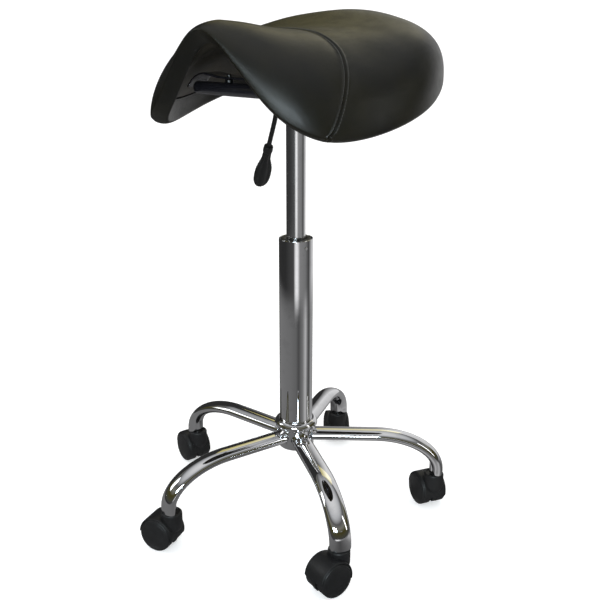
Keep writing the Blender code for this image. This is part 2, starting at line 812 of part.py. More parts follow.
def shell_between(name, upper_rings, lower_rings, look, parent):
    """A closed solid from rings of points: the upper surface down to the rim, then the lower one back up.

    Both surfaces end on the centre line, where the two halves of their last rings are sewn together.
    """
    shape = bmesh.new()
    rings = upper_rings + lower_rings
    made = [[shape.verts.new(p) for p in ring] for ring in rings]
    steps = len(rings[0])
    for a, b in zip(made, made[1:]):
        for i in range(steps):
            j = (i + 1) % steps
            shape.faces.new((a[i], a[j], b[j], b[i]))
    for end in (made[0], made[-1]):
        half = steps // 2
        for i in range(half):
            right, left = (i, i + 1), (-i % steps, -(i + 1) % steps)
            corners = [end[right[0]], end[right[1]], end[left[1]], end[left[0]]]
            unique = []
            for vert in corners:
                if vert not in unique:
                    unique.append(vert)
            shape.faces.new(unique)
    return add_object(name, mesh_from(shape, name), look, parent)


def make_seat(leather, shell_plastic, lining, parent):
    n = RIM_POINTS
    shares = (0.985, 0.93, 0.82, 0.68, 0.54, 0.42, 0.31, 0.21, 0.11, 0.0)
    outer = [arc_ring(RIM_OUTER, SPINE, s, n, outer=True) for s in shares]
    bottom = []
    for i in range(n):
        a, b = rim_point(RIM_OUTER, 2.0 * i / n), rim_point(RIM_INNER, 2.0 * i / n)
        level = (a.y - RIM_OUTER[0][1]) / 0.06
        depth = LIP_DEPTH * min(1.0, 0.25 + level * 0.75)
        bottom.append((a + b) * 0.5 - Vector((0, 0, depth)))

    def under(shares_up, drop, inset):
        return [arc_ring(RIM_INNER, UNDER_SPINE, s, n, drop, inset) for s in shares_up]

    cushion_under = under((0.0, 0.08, 0.20, 0.34, 0.55, 0.78, 0.95), 0.0, 0.0)
    shell_between("seat_cushion", outer, [bottom] + cushion_under, leather, parent)

    up, down = (0.08, 0.20, 0.34, 0.55, 0.78, 0.95), (0.95, 0.78, 0.55, 0.34, 0.20, 0.08)
    step = GAP * 5
    rim_step = 0.0024
    pan_low = SHELL_THICKNESS + step
    top = under(down, step, rim_step)
    shell_between("seat_shell", top, under(up, pan_low, rim_step + SHELL_THICKNESS), shell_plastic, parent)

    skin, skin_rim = pan_low + step, rim_step * 2 + SHELL_THICKNESS
    top = under(down, skin, skin_rim)
    low = under(up, skin + LINING_THICKNESS, skin_rim + LINING_THICKNESS)
    shell_between("under_lining", top, low, lining, parent)


def main():
    clear_scene()
    chrome = material("chrome", (0.80, 0.80, 0.81), 0.08, 1.0)
    steel = material("bright_steel", (0.62, 0.62, 0.63), 0.28, 1.0)
    black_steel = material("black_painted_steel", (0.012, 0.012, 0.014), 0.22)
    black_plastic = material("black_plastic", (0.018, 0.018, 0.019), 0.45)
    rubber = material("rubber", (0.02, 0.02, 0.02), 0.85)
    leather = material("black_leatherette", (0.020, 0.020, 0.018), 0.42)
    shell_plastic = material("shell_plastic", (0.05, 0.045, 0.04), 0.6)
    lining = material("lining", (0.02, 0.018, 0.015), 0.75)

    make_hub(chrome)
    make_legs(chrome)
    make_castors(black_plastic, steel)
    make_column(chrome, steel, black_plastic, rubber)
    seat = empty("seat_frame", Matrix.Identity(4))
    make_mechanism(black_steel, steel, seat)
    make_lever(black_steel, black_plastic, seat)
    make_seat(leather, shell_plastic, lining, seat)


main()
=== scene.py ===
# Saddle stool: leatherette saddle seat, side lever, gas column and a chromed star base on twin-wheel castors.
# The seat's front points to -Y and the floor is Z = 0. Lengths are in metres.
import json
import math

import bmesh
import bpy
import numpy as np
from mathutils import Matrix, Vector


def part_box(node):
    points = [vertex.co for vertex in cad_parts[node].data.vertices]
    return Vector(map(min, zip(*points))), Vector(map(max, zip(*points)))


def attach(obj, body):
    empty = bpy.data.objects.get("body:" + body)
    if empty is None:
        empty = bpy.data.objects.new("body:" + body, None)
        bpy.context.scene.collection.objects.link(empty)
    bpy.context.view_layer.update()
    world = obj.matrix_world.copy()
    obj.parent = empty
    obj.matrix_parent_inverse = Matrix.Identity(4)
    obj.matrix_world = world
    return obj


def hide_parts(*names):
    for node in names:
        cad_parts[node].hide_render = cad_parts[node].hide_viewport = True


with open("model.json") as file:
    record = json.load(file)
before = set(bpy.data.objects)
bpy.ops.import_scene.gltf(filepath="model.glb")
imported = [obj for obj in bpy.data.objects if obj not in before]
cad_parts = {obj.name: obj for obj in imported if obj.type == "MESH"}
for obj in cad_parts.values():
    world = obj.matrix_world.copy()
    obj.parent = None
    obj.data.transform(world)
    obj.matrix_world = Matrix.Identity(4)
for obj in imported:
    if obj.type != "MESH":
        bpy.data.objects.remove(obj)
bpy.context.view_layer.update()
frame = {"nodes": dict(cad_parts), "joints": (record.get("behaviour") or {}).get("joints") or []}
bpy.context.scene.view_settings.view_transform = "Standard"
joints = {joint["name"]: joint for joint in frame["joints"]}


def throughPoints(points, t, before=None, after=None):
    # Catmull-Rom curve through rows of points; t runs from 0 to the number of rows minus 1
    points = np.asarray(points, float)
    before = 2 * points[0] - points[1] if before is None else before
    after = 2 * points[-1] - points[-2] if after is None else after
    rows = np.vstack([before, points, after])
    i = np.clip(np.floor(t).astype(int), 0, len(points) - 2)
    u = (t - i)[..., None]
    a, b, c, d = rows[i], rows[i + 1], rows[i + 2], rows[i + 3]
    return 0.5 * (2 * b + (c - a) * u + (2 * a - 5 * b + 4 * c - d) * u**2 + (3 * b - a - 3 * c + d) * u**3)


def eased(low, high, x):
    # 0 below low, 1 above high, a smooth step between
    u = np.clip((x - low) / (high - low), 0, 1)
    return u * u * (3 - 2 * u)


def bump(x, centre, width):
    # a bell of height 1 round centre
    return np.exp(-(((x - centre) / width) ** 2))


def unit(rows):
    return rows / np.maximum(np.linalg.norm(rows, axis=-1, keepdims=True), 1e-12)


def filleted(corners, size, steps=5, closed=True):
    # a polyline whose corners are rounded by parabolas that start `size` before each corner and end
    # `size` after it
    p = np.asarray(corners, float)
    size = np.broadcast_to(np.asarray(size, float), (len(p),))[:, None]
    back, ahead = np.roll(p, 1, 0) - p, np.roll(p, -1, 0) - p
    reachBack = np.minimum(size, 0.49 * np.linalg.norm(back, axis=1, keepdims=True))
    reachAhead = np.minimum(size, 0.49 * np.linalg.norm(ahead, axis=1, keepdims=True))
    start, end = p + unit(back) * reachBack, p + unit(ahead) * reachAhead
    u = np.linspace(0, 1, steps)[None, :, None]
    arcs = start[:, None] * (1 - u) ** 2 + p[:, None] * 2 * u * (1 - u) + end[:, None] * u**2
    if closed:
        return arcs.reshape(-1, p.shape[1])
    return np.vstack([p[:1], arcs[1:-1].reshape(-1, p.shape[1]), p[-1:]])


def moved(points, x=0.0, y=0.0, z=0.0, turn=0.0):
    # points turned about Z by `turn` radians, then shifted
    c, s = math.cos(turn), math.sin(turn)
    points = np.asarray(points, float)
    turned = np.stack([points[..., 0] * c - points[..., 1] * s, points[..., 0] * s + points[..., 1] * c,
        points[..., 2]], -1)
    return turned + np.array([x, y, z])


def gridFaces(rows, columns, closeRows=False, closeColumns=False):
    # quads between neighbouring rows and columns of a grid of points
    i = np.arange(rows if closeRows else rows - 1)[:, None]
    j = np.arange(columns if closeColumns else columns - 1)[None, :]
    nextI, nextJ = (i + 1) % rows, (j + 1) % columns
    quads = [i * columns + j, i * columns + nextJ, nextI * columns + nextJ, nextI * columns + j]
    return np.stack([np.broadcast_to(q, (i.size, j.size)) for q in quads], -1).reshape(-1, 4)


def surface(grid, closeRows=False, closeColumns=False):
    # a grid of points (rows, columns, 3) as a shape: (points, quads)
    rows, columns = grid.shape[:2]
    return grid.reshape(-1, 3), gridFaces(rows, columns, closeRows, closeColumns)


def together(*shapes):
    # several shapes as one
    starts = np.cumsum([0] + [len(points) for points, _ in shapes[:-1]])
    points = np.vstack([points for points, _ in shapes])
    return points, np.vstack([faces + start for (_, faces), start in zip(shapes, starts)])


def makePiece(name, shape, body, look, replaced=(), sharpDeg=40.0, merge=2e-6):
    # weld the shape's doubles, face it outwards, shade it smooth and set it on its body
    points, faces = shape
    mesh = bpy.data.meshes.new(name)
    mesh.vertices.add(len(points))
    mesh.vertices.foreach_set("co", np.asarray(points, np.float32).ravel())
    mesh.loops.add(faces.size)
    mesh.loops.foreach_set("vertex_index", faces.astype(np.int32).ravel())
    mesh.polygons.add(len(faces))
    mesh.polygons.foreach_set("loop_start", np.arange(0, faces.size, 4, dtype=np.int32))
    mesh.update(calc_edges=True)
    work = bmesh.new()
    work.from_mesh(mesh)
    bmesh.ops.remove_doubles(work, verts=work.verts, dist=merge)
    bmesh.ops.dissolve_degenerate(work, edges=work.edges, dist=1e-7)
    bmesh.ops.recalc_face_normals(work, faces=work.faces)
    if work.calc_volume(signed=True) < 0:
        bmesh.ops.reverse_faces(work, faces=work.faces)
    work.to_mesh(mesh)
    work.free()
    mesh.shade_smooth()
    mesh.set_sharp_from_angle(angle=math.radians(sharpDeg))
    mesh.materials.append(look)
    piece = bpy.data.objects.new(name, mesh)
    bpy.context.scene.collection.objects.link(piece)
    if body is None:
        return piece
    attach(piece, body)
    if replaced:
        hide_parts(*replaced)
    return piece


def spun(profile, steps=64, closed=True):
    # a profile of (radius, z) carried once round Z; a closed profile joins its ends
    profile = np.asarray(profile, float)
    angle = np.linspace(0, 2 * math.pi, steps, endpoint=False)[:, None]
    grid = np.stack([profile[:, 0] * np.cos(angle), profile[:, 0] * np.sin(angle),
        np.broadcast_to(profile[:, 1], (steps, len(profile)))], -1)
    return surface(grid, closeRows=True, closeColumns=closed)


def onAxis(shape, origin, axis):
    # a shape made round Z, laid so that its Z runs along axis from origin
    axis = unit(np.asarray(axis, float))
    side = unit(np.cross([0.0, 0.0, 1.0] if abs(axis[2]) < 0.9 else [1.0, 0.0, 0.0], axis))
    other = np.cross(axis, side)
    points, faces = shape
    return points @ np.array([side, other, axis]) + np.asarray(origin, float), faces


def carried(path, across, halfWidth, halfHeight, count=32, power=2.0, tips=(0.0, 0.0), rounding=0.0):
    # an oval section carried along a path; across is the section's wide direction.
    # The section is |x|^power + |y|^power = 1, and each end closes over a rounding of the given length.
    path = np.asarray(path, float)
    n = len(path)
    wide = np.broadcast_to(np.asarray(halfWidth, float), (n,)).copy()
    tall = np.broadcast_to(np.asarray(halfHeight, float), (n,)).copy()
    along = unit(np.gradient(path, axis=0))
    if rounding:
        u = np.linspace(0, 1, 5)[:-1]
        grow = np.sqrt(1 - (1 - u) ** 2)
        headPath = path[0] - along[0] * rounding * (1 - u)[:, None]
        tailPath = path[-1] + along[-1] * rounding * (1 - u)[::-1, None]
        wideCut, tallCut = rounding, rounding
        wide = np.concatenate([wide[0] - wideCut * (1 - grow), wide, wide[-1] - wideCut * (1 - grow)[::-1]])
        tall = np.concatenate([tall[0] - tallCut * (1 - grow), tall, tall[-1] - tallCut * (1 - grow)[::-1]])
        along = np.vstack([np.repeat(along[:1], 4, 0), along, np.repeat(along[-1:], 4, 0)])
        path = np.vstack([headPath, path, tailPath])
    path = np.vstack([path[:1], path, path[-1:]])
    along = np.vstack([along[:1], along, along[-1:]])
    wide = np.concatenate([[1e-7], wide, [1e-7]])
    tall = np.concatenate([[1e-7], tall, [1e-7]])
    across = unit(np.broadcast_to(np.asarray(across, float),
        path.shape) - along * (along @ np.asarray(across, float))[:, None])
    up = np.cross(along, across)
    a = np.linspace(0, 2 * math.pi, count, endpoint=False)
    x = np.sign(np.cos(a)) * np.abs(np.cos(a)) ** (2 / power)
    y = np.sign(np.sin(a)) * np.abs(np.sin(a)) ** (2 / power)
    grid = (
        path[:, None]
        + across[:, None] * (wide[:, None] * x)[..., None]
        + up[:, None] * (tall[:, None] * y)[..., None]
    )
    return surface(grid, closeColumns=True)


def outlineCarried(outline, path, across, up):
    # a flat outline of (across, up) points carried straight along a path, its ends closed onto their middle
    outline = np.asarray(outline, float)
    grid = np.asarray(path, float)[:, None] + outline[None, :, :1] * np.asarray(across,
        float) + outline[None, :, 1:] * np.asarray(up, float)
    middles = grid.mean(1, keepdims=True)
    ends = [np.broadcast_to(middles[i], (1,) + grid.shape[1:]) for i in (0, -1)]
    return surface(np.concatenate([ends[0], grid, ends[1]]), closeColumns=True)


class Wire:
    # a node's output that can stand in a Python sum
    def __init__(self, tree, socket):
        self.tree, self.socket = tree, socket

    def sum(self, operation, *values):
        return self.tree.make("ShaderNodeMath", {"operation": operation}, dict(enumerate(values)))

    def __add__(self, other): return self.sum("ADD", self, other)
    def __radd__(self, other): return self.sum("ADD", other, self)
    def __sub__(self, other): return self.sum("SUBTRACT", self, other)
    def __rsub__(self, other): return self.sum("SUBTRACT", other, self)
    def __mul__(self, other): return self.sum("MULTIPLY", self, other)
    def __rmul__(self, other): return self.sum("MULTIPLY", other, self)
    def __truediv__(self, other): return self.sum("DIVIDE", self, other)
    def __pow__(self, other): return self.sum("POWER", self, other)

    def between(self, low, high):
        # 0 at low and 1 at high, smooth between and flat outside
        return self.tree.make("ShaderNodeMapRange", {"interpolation_type": "SMOOTHSTEP"},
            {"Value": self, "From Min": low, "From Max": high})


class Look:
    # a material whose nodes all come from one method
    def __init__(self, name, **shader):
        self.material = bpy.data.materials.new(name)
        self.material.use_nodes = True
        self.nodes, self.links = self.material.node_tree.nodes, self.material.node_tree.links
        self.shader = self.nodes["Principled BSDF"]
        for socket, value in shader.items():
            self.shader.inputs[socket.replace("_", " ")].default_value = value

    def make(self, kind, settings=None, values=None, output=0):
        node = self.nodes.new(kind)
        for key, value in (settings or {}).items():
            if key == "stops":
                elements = node.color_ramp.elements
                while len(elements) < len(value):
                    elements.new(1.0)
                for element, (place, colour) in zip(elements, value):
                    element.position, element.color = place, (*colour, 1)
            else:
                setattr(node, key, value)
        for key, value in (values or {}).items():
            self.feed(node.inputs[key], value)
        return Wire(self, node.outputs[output])

    def feed(self, socket, value):
        if isinstance(value, Wire):
            self.links.new(value.socket, socket)
        else:
            socket.default_value = value

    def set(self, **values):
        for socket, value in values.items():
            self.feed(self.shader.inputs[socket.replace("_", " ")], value)

    def place(self, stretch=(1.0, 1.0, 1.0)):
        where = self.make("ShaderNodeTexCoord", output=3)
        if stretch == (1.0, 1.0, 1.0):
            return where
        return self.make("ShaderNodeMapping", None, {"Vector": where, "Scale": stretch})

    def height(self):
        return self.make("ShaderNodeSeparateXYZ", None, {"Vector": self.place()}, output=2)

    def noise(self, scale, detail=3.0, rough=0.5, stretch=(1.0, 1.0, 1.0)):
        return self.make("ShaderNodeTexNoise", None,
            {"Vector": self.place(stretch), "Scale": scale, "Detail": detail, "Roughness": rough})

    def cells(self, scale, feature="F1", jitter=1.0):
        return self.make("ShaderNodeTexVoronoi", {"feature": feature},
            {"Vector": self.place(), "Scale": scale, "Randomness": jitter})

    def tinted(self, mask, low, high):
        # low where the mask is 0 and high where it is 1
        mix = self.nodes.new("ShaderNodeMix")
        mix.data_type = "RGBA"
        self.feed(mix.inputs["Factor"], mask)
        mix.inputs[6].default_value, mix.inputs[7].default_value = (*low, 1), (*high, 1)
        return Wire(self, mix.outputs[2])

    def relief(self, height, depth, strength=1.0):
        return self.make("ShaderNodeBump", None, {"Height": height, "Distance": depth, "Strength": strength})


def chromeLook(name, colour, rough, smudge):
    # bright plate with a faint film of handling marks and the slow waviness of drawn tube
    look = Look(name, Metallic=1.0)
    film = look.noise(38.0, 5.0, 0.62).between(0.48, 0.72)
    pits = look.noise(900.0, 2.0).between(0.70, 0.80)
    look.set(
        Base_Color=look.tinted(film, colour, tuple(0.90 * c for c in colour)),
        Roughness=rough + film * smudge + pits * 0.05,
        Normal=look.relief(look.noise(26.0, 2.0, 0.4) * 1.0, 0.0006, 0.30),
    )
    return look.material


def groundSteelLook(name, colour, rough, scale=1.0):
    # polished round bar: fine rings left by grinding, slightly uneven
    look = Look(name, Metallic=1.0)
    rings = look.noise(1.0, 3.0, 0.6, stretch=(12.0, 12.0, 2600.0 * scale))
    film = look.noise(30.0, 4.0, 0.6).between(0.45, 0.75)
    look.set(
        Base_Color=look.tinted(film, colour, tuple(0.88 * c for c in colour)),
        Roughness=rough + rings * 0.10 + film * 0.05,
        Normal=look.relief(rings * 1.0, 0.00004, 0.35),
    )
    return look.material


def enamelLook(name, colour, rough):
    # thick black enamel over pressed steel, with a little orange peel
    look = Look(name, Coat_Roughness=0.06, Specular_IOR_Level=0.6)
    peel = look.noise(420.0, 2.0, 0.5)
    film = look.noise(45.0, 4.0, 0.6).between(0.50, 0.78)
    look.set(
        Base_Color=look.tinted(film, colour, tuple(c * 1.9 + 0.002 for c in colour)),
        Roughness=rough + film * 0.14,
        Coat_Weight=0.75 - film * 0.25,
        Normal=look.relief(peel * 1.0, 0.00012, 0.25),
    )
    return look.material


def mouldedLook(name, colour, rough, grain, dusty=0.0):
    # moulded plastic with a spark-eroded grain, worn smoother in patches; dusty greys the part
    # nearest the floor
    look = Look(name, Specular_IOR_Level=0.45)
    worn = look.noise(60.0, 4.0, 0.6).between(0.42, 0.74)
    base = look.tinted(worn, colour, tuple(c * 1.35 + 0.001 for c in colour))
    if dusty:
        low = 1.0 - look.height().between(0.001, 0.016)
        dust = low * look.noise(240.0, 4.0, 0.7).between(0.42, 0.68) * dusty
        mix = look.nodes.new("ShaderNodeMix")
        mix.data_type = "RGBA"
        look.feed(mix.inputs["Factor"], dust)
        look.feed(mix.inputs[6], base)
        mix.inputs[7].default_value = (0.16, 0.155, 0.15, 1)
        base = Wire(look, mix.outputs[2])
    look.set(
        Base_Color=base,
        Roughness=rough - worn * 0.09 + look.noise(700.0, 2.0) * 0.06,
        Normal=look.relief(look.cells(1000.0 * grain) + look.noise(2300.0 * grain, 2.0) * 0.7, 0.00010, 0.30),
    )
    return look.material


def hideLook(name, colour, warm, rough, grainDepth):
    # leatherette: pebbled cells of about a millimetre with fine creases between, over soft slow undulation
    look = Look(name, Specular_IOR_Level=0.42)
    pebble = look.cells(880.0, "SMOOTH_F1", 0.9)
    crease = look.cells(620.0, "DISTANCE_TO_EDGE").between(0.0, 0.12)
    broad = look.noise(14.0, 4.0, 0.55)
    patches = look.noise(46.0, 5.0, 0.6).between(0.38, 0.72)
    look.set(
        Base_Color=look.tinted(broad.between(0.35, 0.70), colour, warm),
        Roughness=rough + patches * 0.07 + (1.0 - crease) * 0.10,
        Normal=look.relief(crease * 0.55 + (1.0 - pebble) * 0.45 + look.noise(150.0, 4.0, 0.6) * 1.1,
            grainDepth, 0.55),
    )
    return look.material


def threadLook(name, colour):
    # twisted thread: slanting plies
    look = Look(name, Roughness=0.62, Sheen_Weight=0.2)
    plies = look.make("ShaderNodeTexWave", {"bands_direction": "DIAGONAL"},
        {"Vector": look.place(), "Scale": 700.0, "Distortion": 1.0}, output=1)
    look.set(
        Base_Color=look.tinted(plies, colour, tuple(1.8 * c for c in colour)),
        Normal=look.relief(plies * 1.0, 0.0002, 0.6),
    )
    return look.material


chrome = chromeLook("chrome plate", (0.80, 0.80, 0.815), 0.045, 0.07)
cylinderSteel = groundSteelLook("ground chrome", (0.84, 0.84, 0.85), 0.10)
boltSteel = groundSteelLook("zinc bolt", (0.50, 0.50, 0.49), 0.26, 0.4)
darkSteel = groundSteelLook("blackened bolt", (0.07, 0.07, 0.07), 0.30, 0.4)
enamel = enamelLook("black enamel", (0.006, 0.006, 0.008), 0.13)
hoodPlastic = mouldedLook("castor hood plastic", (0.0055, 0.0055, 0.0060), 0.48, 1.0)
wheelPlastic = mouldedLook("castor wheel plastic", (0.0070, 0.0070, 0.0075), 0.44, 1.4, dusty=0.12)
gripPlastic = mouldedLook("lever grip plastic", (0.005, 0.005, 0.005), 0.42, 1.2)
bushPlastic = mouldedLook("bush plastic", (0.014, 0.014, 0.014), 0.40, 1.6)
rubber = mouldedLook("buffer rubber", (0.016, 0.015, 0.015), 0.75, 0.8)
hide = hideLook("seat leatherette", (0.0026, 0.0026, 0.0014), (0.0056, 0.0049, 0.0012), 0.33, 0.00013)
underHide = hideLook("under cover leatherette", (0.009, 0.0066, 0.0016), (0.018, 0.0130, 0.0028), 0.50,
    0.00016)
panPlastic = mouldedLook("seat pan plastic", (0.030, 0.025, 0.018), 0.55, 0.7)
thread = threadLook("seam thread", (0.030, 0.030, 0.026))
print("materials:", len(bpy.data.materials))


seatForm = {
    # the widest line of the rim, right-hand half from the front to the rear
    "rimOuter": [
        (0.000, -0.188, 0.735), (0.034, -0.182, 0.710), (0.073, -0.175, 0.668), (0.103, -0.165, 0.636),
            (0.128, -0.151, 0.624),
        (0.150, -0.127, 0.611), (0.174, -0.075, 0.611), (0.191, 0.000, 0.627), (0.182, 0.060, 0.642),
            (0.160, 0.118, 0.657),
        (0.127, 0.172, 0.675), (0.070, 0.204, 0.688), (0.000, 0.214, 0.692),
    ],
    # the inner edge of the rim
    "rimInner": [
        (0.000, -0.170, 0.719), (0.027, -0.165, 0.700), (0.057, -0.158, 0.667), (0.084, -0.149, 0.638),
            (0.108, -0.136, 0.622),
        (0.128, -0.116, 0.610), (0.151, -0.070, 0.610), (0.168, 0.000, 0.625), (0.158, 0.056, 0.640),
            (0.137, 0.106, 0.654),
        (0.106, 0.151, 0.671), (0.058, 0.179, 0.684), (0.000, 0.187, 0.688),
    ],
    # heights of the centre line as (y, z), on top and underneath
    "spine": [
        (-0.150, 0.742), (-0.110, 0.739), (-0.070, 0.733), (-0.030, 0.730), (0.010, 0.731),
        (0.040, 0.738), (0.080, 0.750), (0.120, 0.754), (0.140, 0.753),
    ],
    "underSpine": [(-0.135, 0.7185), (-0.060, 0.7060), (0.020, 0.6950), (0.080, 0.6930), (0.130, 0.6965)],
    # (y, power) of the arcs from the rim to the centre line: below 1 they are fuller than an ellipse
    "outerFullness": [
        (-0.190, 1.22), (-0.130, 1.16), (-0.070, 1.02), (-0.020, 0.92), (0.030, 0.70),
        (0.070, 0.58), (0.110, 0.62), (0.150, 0.80), (0.190, 0.96), (0.215, 0.90),
    ],
    "underFullness": [(-0.190, 0.88), (0.215, 0.88)],
    "lipDepth": 0.0070,
    # the cross seam: how far up from the rim (0) to the centre line (1), and where along Y
    "seam": [
        (0.00, -0.126), (0.04, -0.1217), (0.10, -0.1160), (0.17, -0.1085), (0.26, -0.0970), (0.35, -0.0845),
            (0.46, -0.0700),
        (0.575, -0.0560), (0.70, -0.0435), (0.83, -0.0310), (0.93, -0.0225), (1.00, -0.0190),
    ],
    "seamGroove": 0.0010,
    "seamRidge": 0.0011,
    "ridgeOffset": 0.0030,
    "pipingShare": 0.14,
    "stitchPitch": 0.0042,
}


def rimCurve(points, s):
    # the rim at s, 0 at the front and 1 at the rear; the mirrored neighbours keep its ends level
    points = np.asarray(points, float)
    flip = np.array([-1.0, 1.0, 1.0])
    return throughPoints(points, s * (len(points) - 1), points[1] * flip, points[-2] * flip)


def rimTable(points, harmonics=9.0):
    # the whole rim loop sampled finely and freed of short waves, so that gloss runs evenly along it
    half = np.linspace(0, 1, 401)
    right = rimCurve(points, half)
    loop = np.vstack([right[:-1], (right * [-1.0, 1.0, 1.0])[::-1][:-1]])
    waves = np.fft.rfft(loop, axis=0)
    waves *= np.exp(-((np.arange(len(waves)) / harmonics) ** 4))[:, None]
    return half, np.fft.irfft(waves, len(loop), axis=0)[:401]


def heightTable(points):
    # a centre line's height along Y, eased by a moving average
    points = np.asarray(points, float)
    t = np.linspace(0, len(points) - 1, 601)
    curve = throughPoints(points, t)
    y = np.linspace(points[0, 0] - 0.04, points[-1, 0] + 0.04, 401)
    z = np.interp(y, curve[:, 0], curve[:, 1])
    kernel = np.exp(-np.linspace(-2, 2, 41) ** 2)
    padded = np.concatenate([np.full(20, z[0]), z, np.full(20, z[-1])])
    return y, np.convolve(padded, kernel / kernel.sum(), "valid")


outerTable, innerTable = rimTable(seatForm["rimOuter"]), rimTable(seatForm["rimInner"])
spineTable, underTable = heightTable(seatForm["spine"]), heightTable(seatForm["underSpine"])
outerPower, underPower = heightTable(seatForm["outerFullness"]), heightTable(seatForm["underFullness"])


def fromTable(table, s):
    half, rows = table
    return np.stack([np.interp(s, half, rows[:, k]) for k in range(3)], -1)


def crowned(rim, heights, ends, powers, s, share, inset=0.0, drop=0.0):
    # arcs from the rim (share 0) to the centre line (share 1):
    # plan = centre + (rim - centre) cos^reach, height = rim + (centre - rim) sin^rise
    edge = fromTable(rim, s)
    low, high = ends
    rimLow, rimHigh = rim[1][0, 1], rim[1][-1, 1]
    centreY = low + (high - low) * (edge[..., 1] - rimLow) / (rimHigh - rimLow)
    top = np.interp(centreY, *heights) - drop
    flatX, flatY = edge[..., 0], edge[..., 1] - centreY
    length = np.maximum(np.hypot(flatX, flatY), 1e-6)
    keep = 1 - np.minimum(inset / length, 0.9)
    angle = share * math.pi / 2
    rise = np.interp(edge[..., 1], *powers[0])
    reach = np.clip(np.cos(angle), 0, 1) ** (rise if powers[1] else 1.0)
    return np.stack([
        flatX * keep * reach,
        centreY + flatY * keep * reach,
        edge[..., 2] + (top - edge[..., 2]) * np.sin(angle) ** rise,
    ], -1)


outerEnds = (seatForm["spine"][0][0], seatForm["spine"][-1][0])
underEnds = (seatForm["underSpine"][0][0], seatForm["underSpine"][-1][0])


def outerSkin(s, share):
    return crowned(outerTable, spineTable, outerEnds, (outerPower, True), s, share)


def underSkin(s, share, inset=0.0, drop=0.0):
    return crowned(innerTable, underTable, underEnds, (underPower, False), s, share, inset, drop)


def seamStation(share):
    # the s at which the cross seam passes the given share, found along a fine scan
    seam = np.asarray(seatForm["seam"])
    scan = np.linspace(0, 1, 801)
    fine = throughPoints(seam, np.linspace(0, len(seam) - 1, 300))
    wantY = np.interp(share, fine[:, 0], fine[:, 1])
    y = outerSkin(scan[:, None], np.asarray(share)[None, :])[..., 1]
    return np.array([np.interp(want, column, scan) for want, column in zip(wantY, y.T)])


def lipSkin(s, turn):
    # half an oval from the outer rim (turn 0) under the edge to the inner rim (turn 1)
    a, b = fromTable(outerTable, s), fromTable(innerTable, s)
    middle, half = (a + b) / 2, (a - b) / 2
    depth = seatForm["lipDepth"] * np.clip(0.25 + 0.75 * (a[..., 1] - outerTable[1][0, 1]) / 0.06, 0, 1)
    angle = turn * math.pi
    drop = np.zeros(a.shape)
    drop[..., 2] = -depth * np.abs(np.sin(angle)) ** 0.8
    return middle + half * np.cos(angle)[..., None] + drop


def seatCover():
    # one closed skin: each row s runs from the middle underneath, out round the right edge,
    # over the top and back
    nOuter, nLip, nUnder = 110, 16, 46
    shareOuter = 1 - np.linspace(0, 1, nOuter) ** 0.92
    shareUnder = np.linspace(0, 1, nUnder) ** 1.25
    rowsBefore, rowsNear, rowsAfter = 74, 40, 120
    near = np.linspace(-1, 1, rowsNear)
    nearReach = 0.030
    rowCount = rowsBefore + rowsNear + rowsAfter
    seamS = seamStation(shareOuter)

    def stations(middle):
        # s of each row in a column whose seam lies at `middle`: rows crowd round the seam
        ahead = np.linspace(0, 1, rowsBefore, endpoint=False) ** 0.9
        behind = np.linspace(0, 1, rowsAfter + 1)[1:]
        low, high = middle - nearReach, middle + nearReach
        return np.concatenate([ahead * low, middle + nearReach * near * (0.35 + 0.65 * near**2),
            high + behind * (1 - high)])

    sOuter = np.stack([stations(m) for m in seamS], 1)
    top = outerSkin(sOuter, shareOuter[None, :])
    sEdge = sOuter[:, -1:]
    lip = lipSkin(np.repeat(sEdge, nLip, 1), np.linspace(0, 1, nLip)[None, :].repeat(rowCount, 0))
    under = underSkin(np.repeat(sEdge, nUnder, 1), shareUnder[None, :])
    right = np.concatenate([top, lip[:, 1:], under[:, 1:]], 1)

    # height of the leather over the plain form: groove, ridges, a soft pull-in and slow hand-made unevenness
    rowNormals = gridNormals(right)
    seamRow = rowsBefore + rowsNear // 2
    fromSeam = np.cumsum(np.linalg.norm(np.diff(top, axis=0, prepend=top[:1]), axis=-1), 0)
    seamAt = (fromSeam[seamRow - 1] + fromSeam[seamRow]) / 2
    d = fromSeam - seamAt
    topHeight = (
        -seatForm["seamGroove"] * bump(d, 0, 0.0009)
        + seatForm["seamRidge"] * (bump(d, seatForm["ridgeOffset"], 0.0014) + bump(d,
            -seatForm["ridgeOffset"], 0.0014))
        - 0.0011 * bump(d, 0, 0.012)
    )
    x, y = top[..., 0], top[..., 1]
    pucker = np.sin(x * 520 + 2.0 * np.sin(y * 60)) * bump(d, 0, 0.010) * 0.00012
    slow = 0.0002 * np.sin(x * 37 + 1.3) * np.sin(y * 31 + 0.4) + 0.00012 * np.sin(x * 71 - y * 53)
    fade = eased(0.0, 0.25, shareOuter)[None, :]
    topHeight = topHeight + (pucker + slow) * fade
    height = np.zeros(right.shape[:2])
    height[:, :nOuter] = topHeight
    edgeHeight = topHeight[:, -1:]
    height[:, nOuter:nOuter + nLip - 1] = edgeHeight * (1 - eased(0.15, 0.6,
        np.linspace(0, 1, nLip)[1:]))[None, :]
    share = shareUnder[1:][None, :]
    height[:, nOuter + nLip - 1:] = -0.0016 * bump(share, seatForm["pipingShare"], 0.035)
    right = right + rowNormals * height[..., None]
    right[0, :, 0] = 0.0
    right[-1, :, 0] = 0.0
    right[:, 0, 0] = 0.0
    right[:, -1, 0] = 0.0
    left = (right * [-1.0, 1.0, 1.0])[:, ::-1][:, 1:-1]
    return surface(np.concatenate([right, left], 1), closeColumns=True)


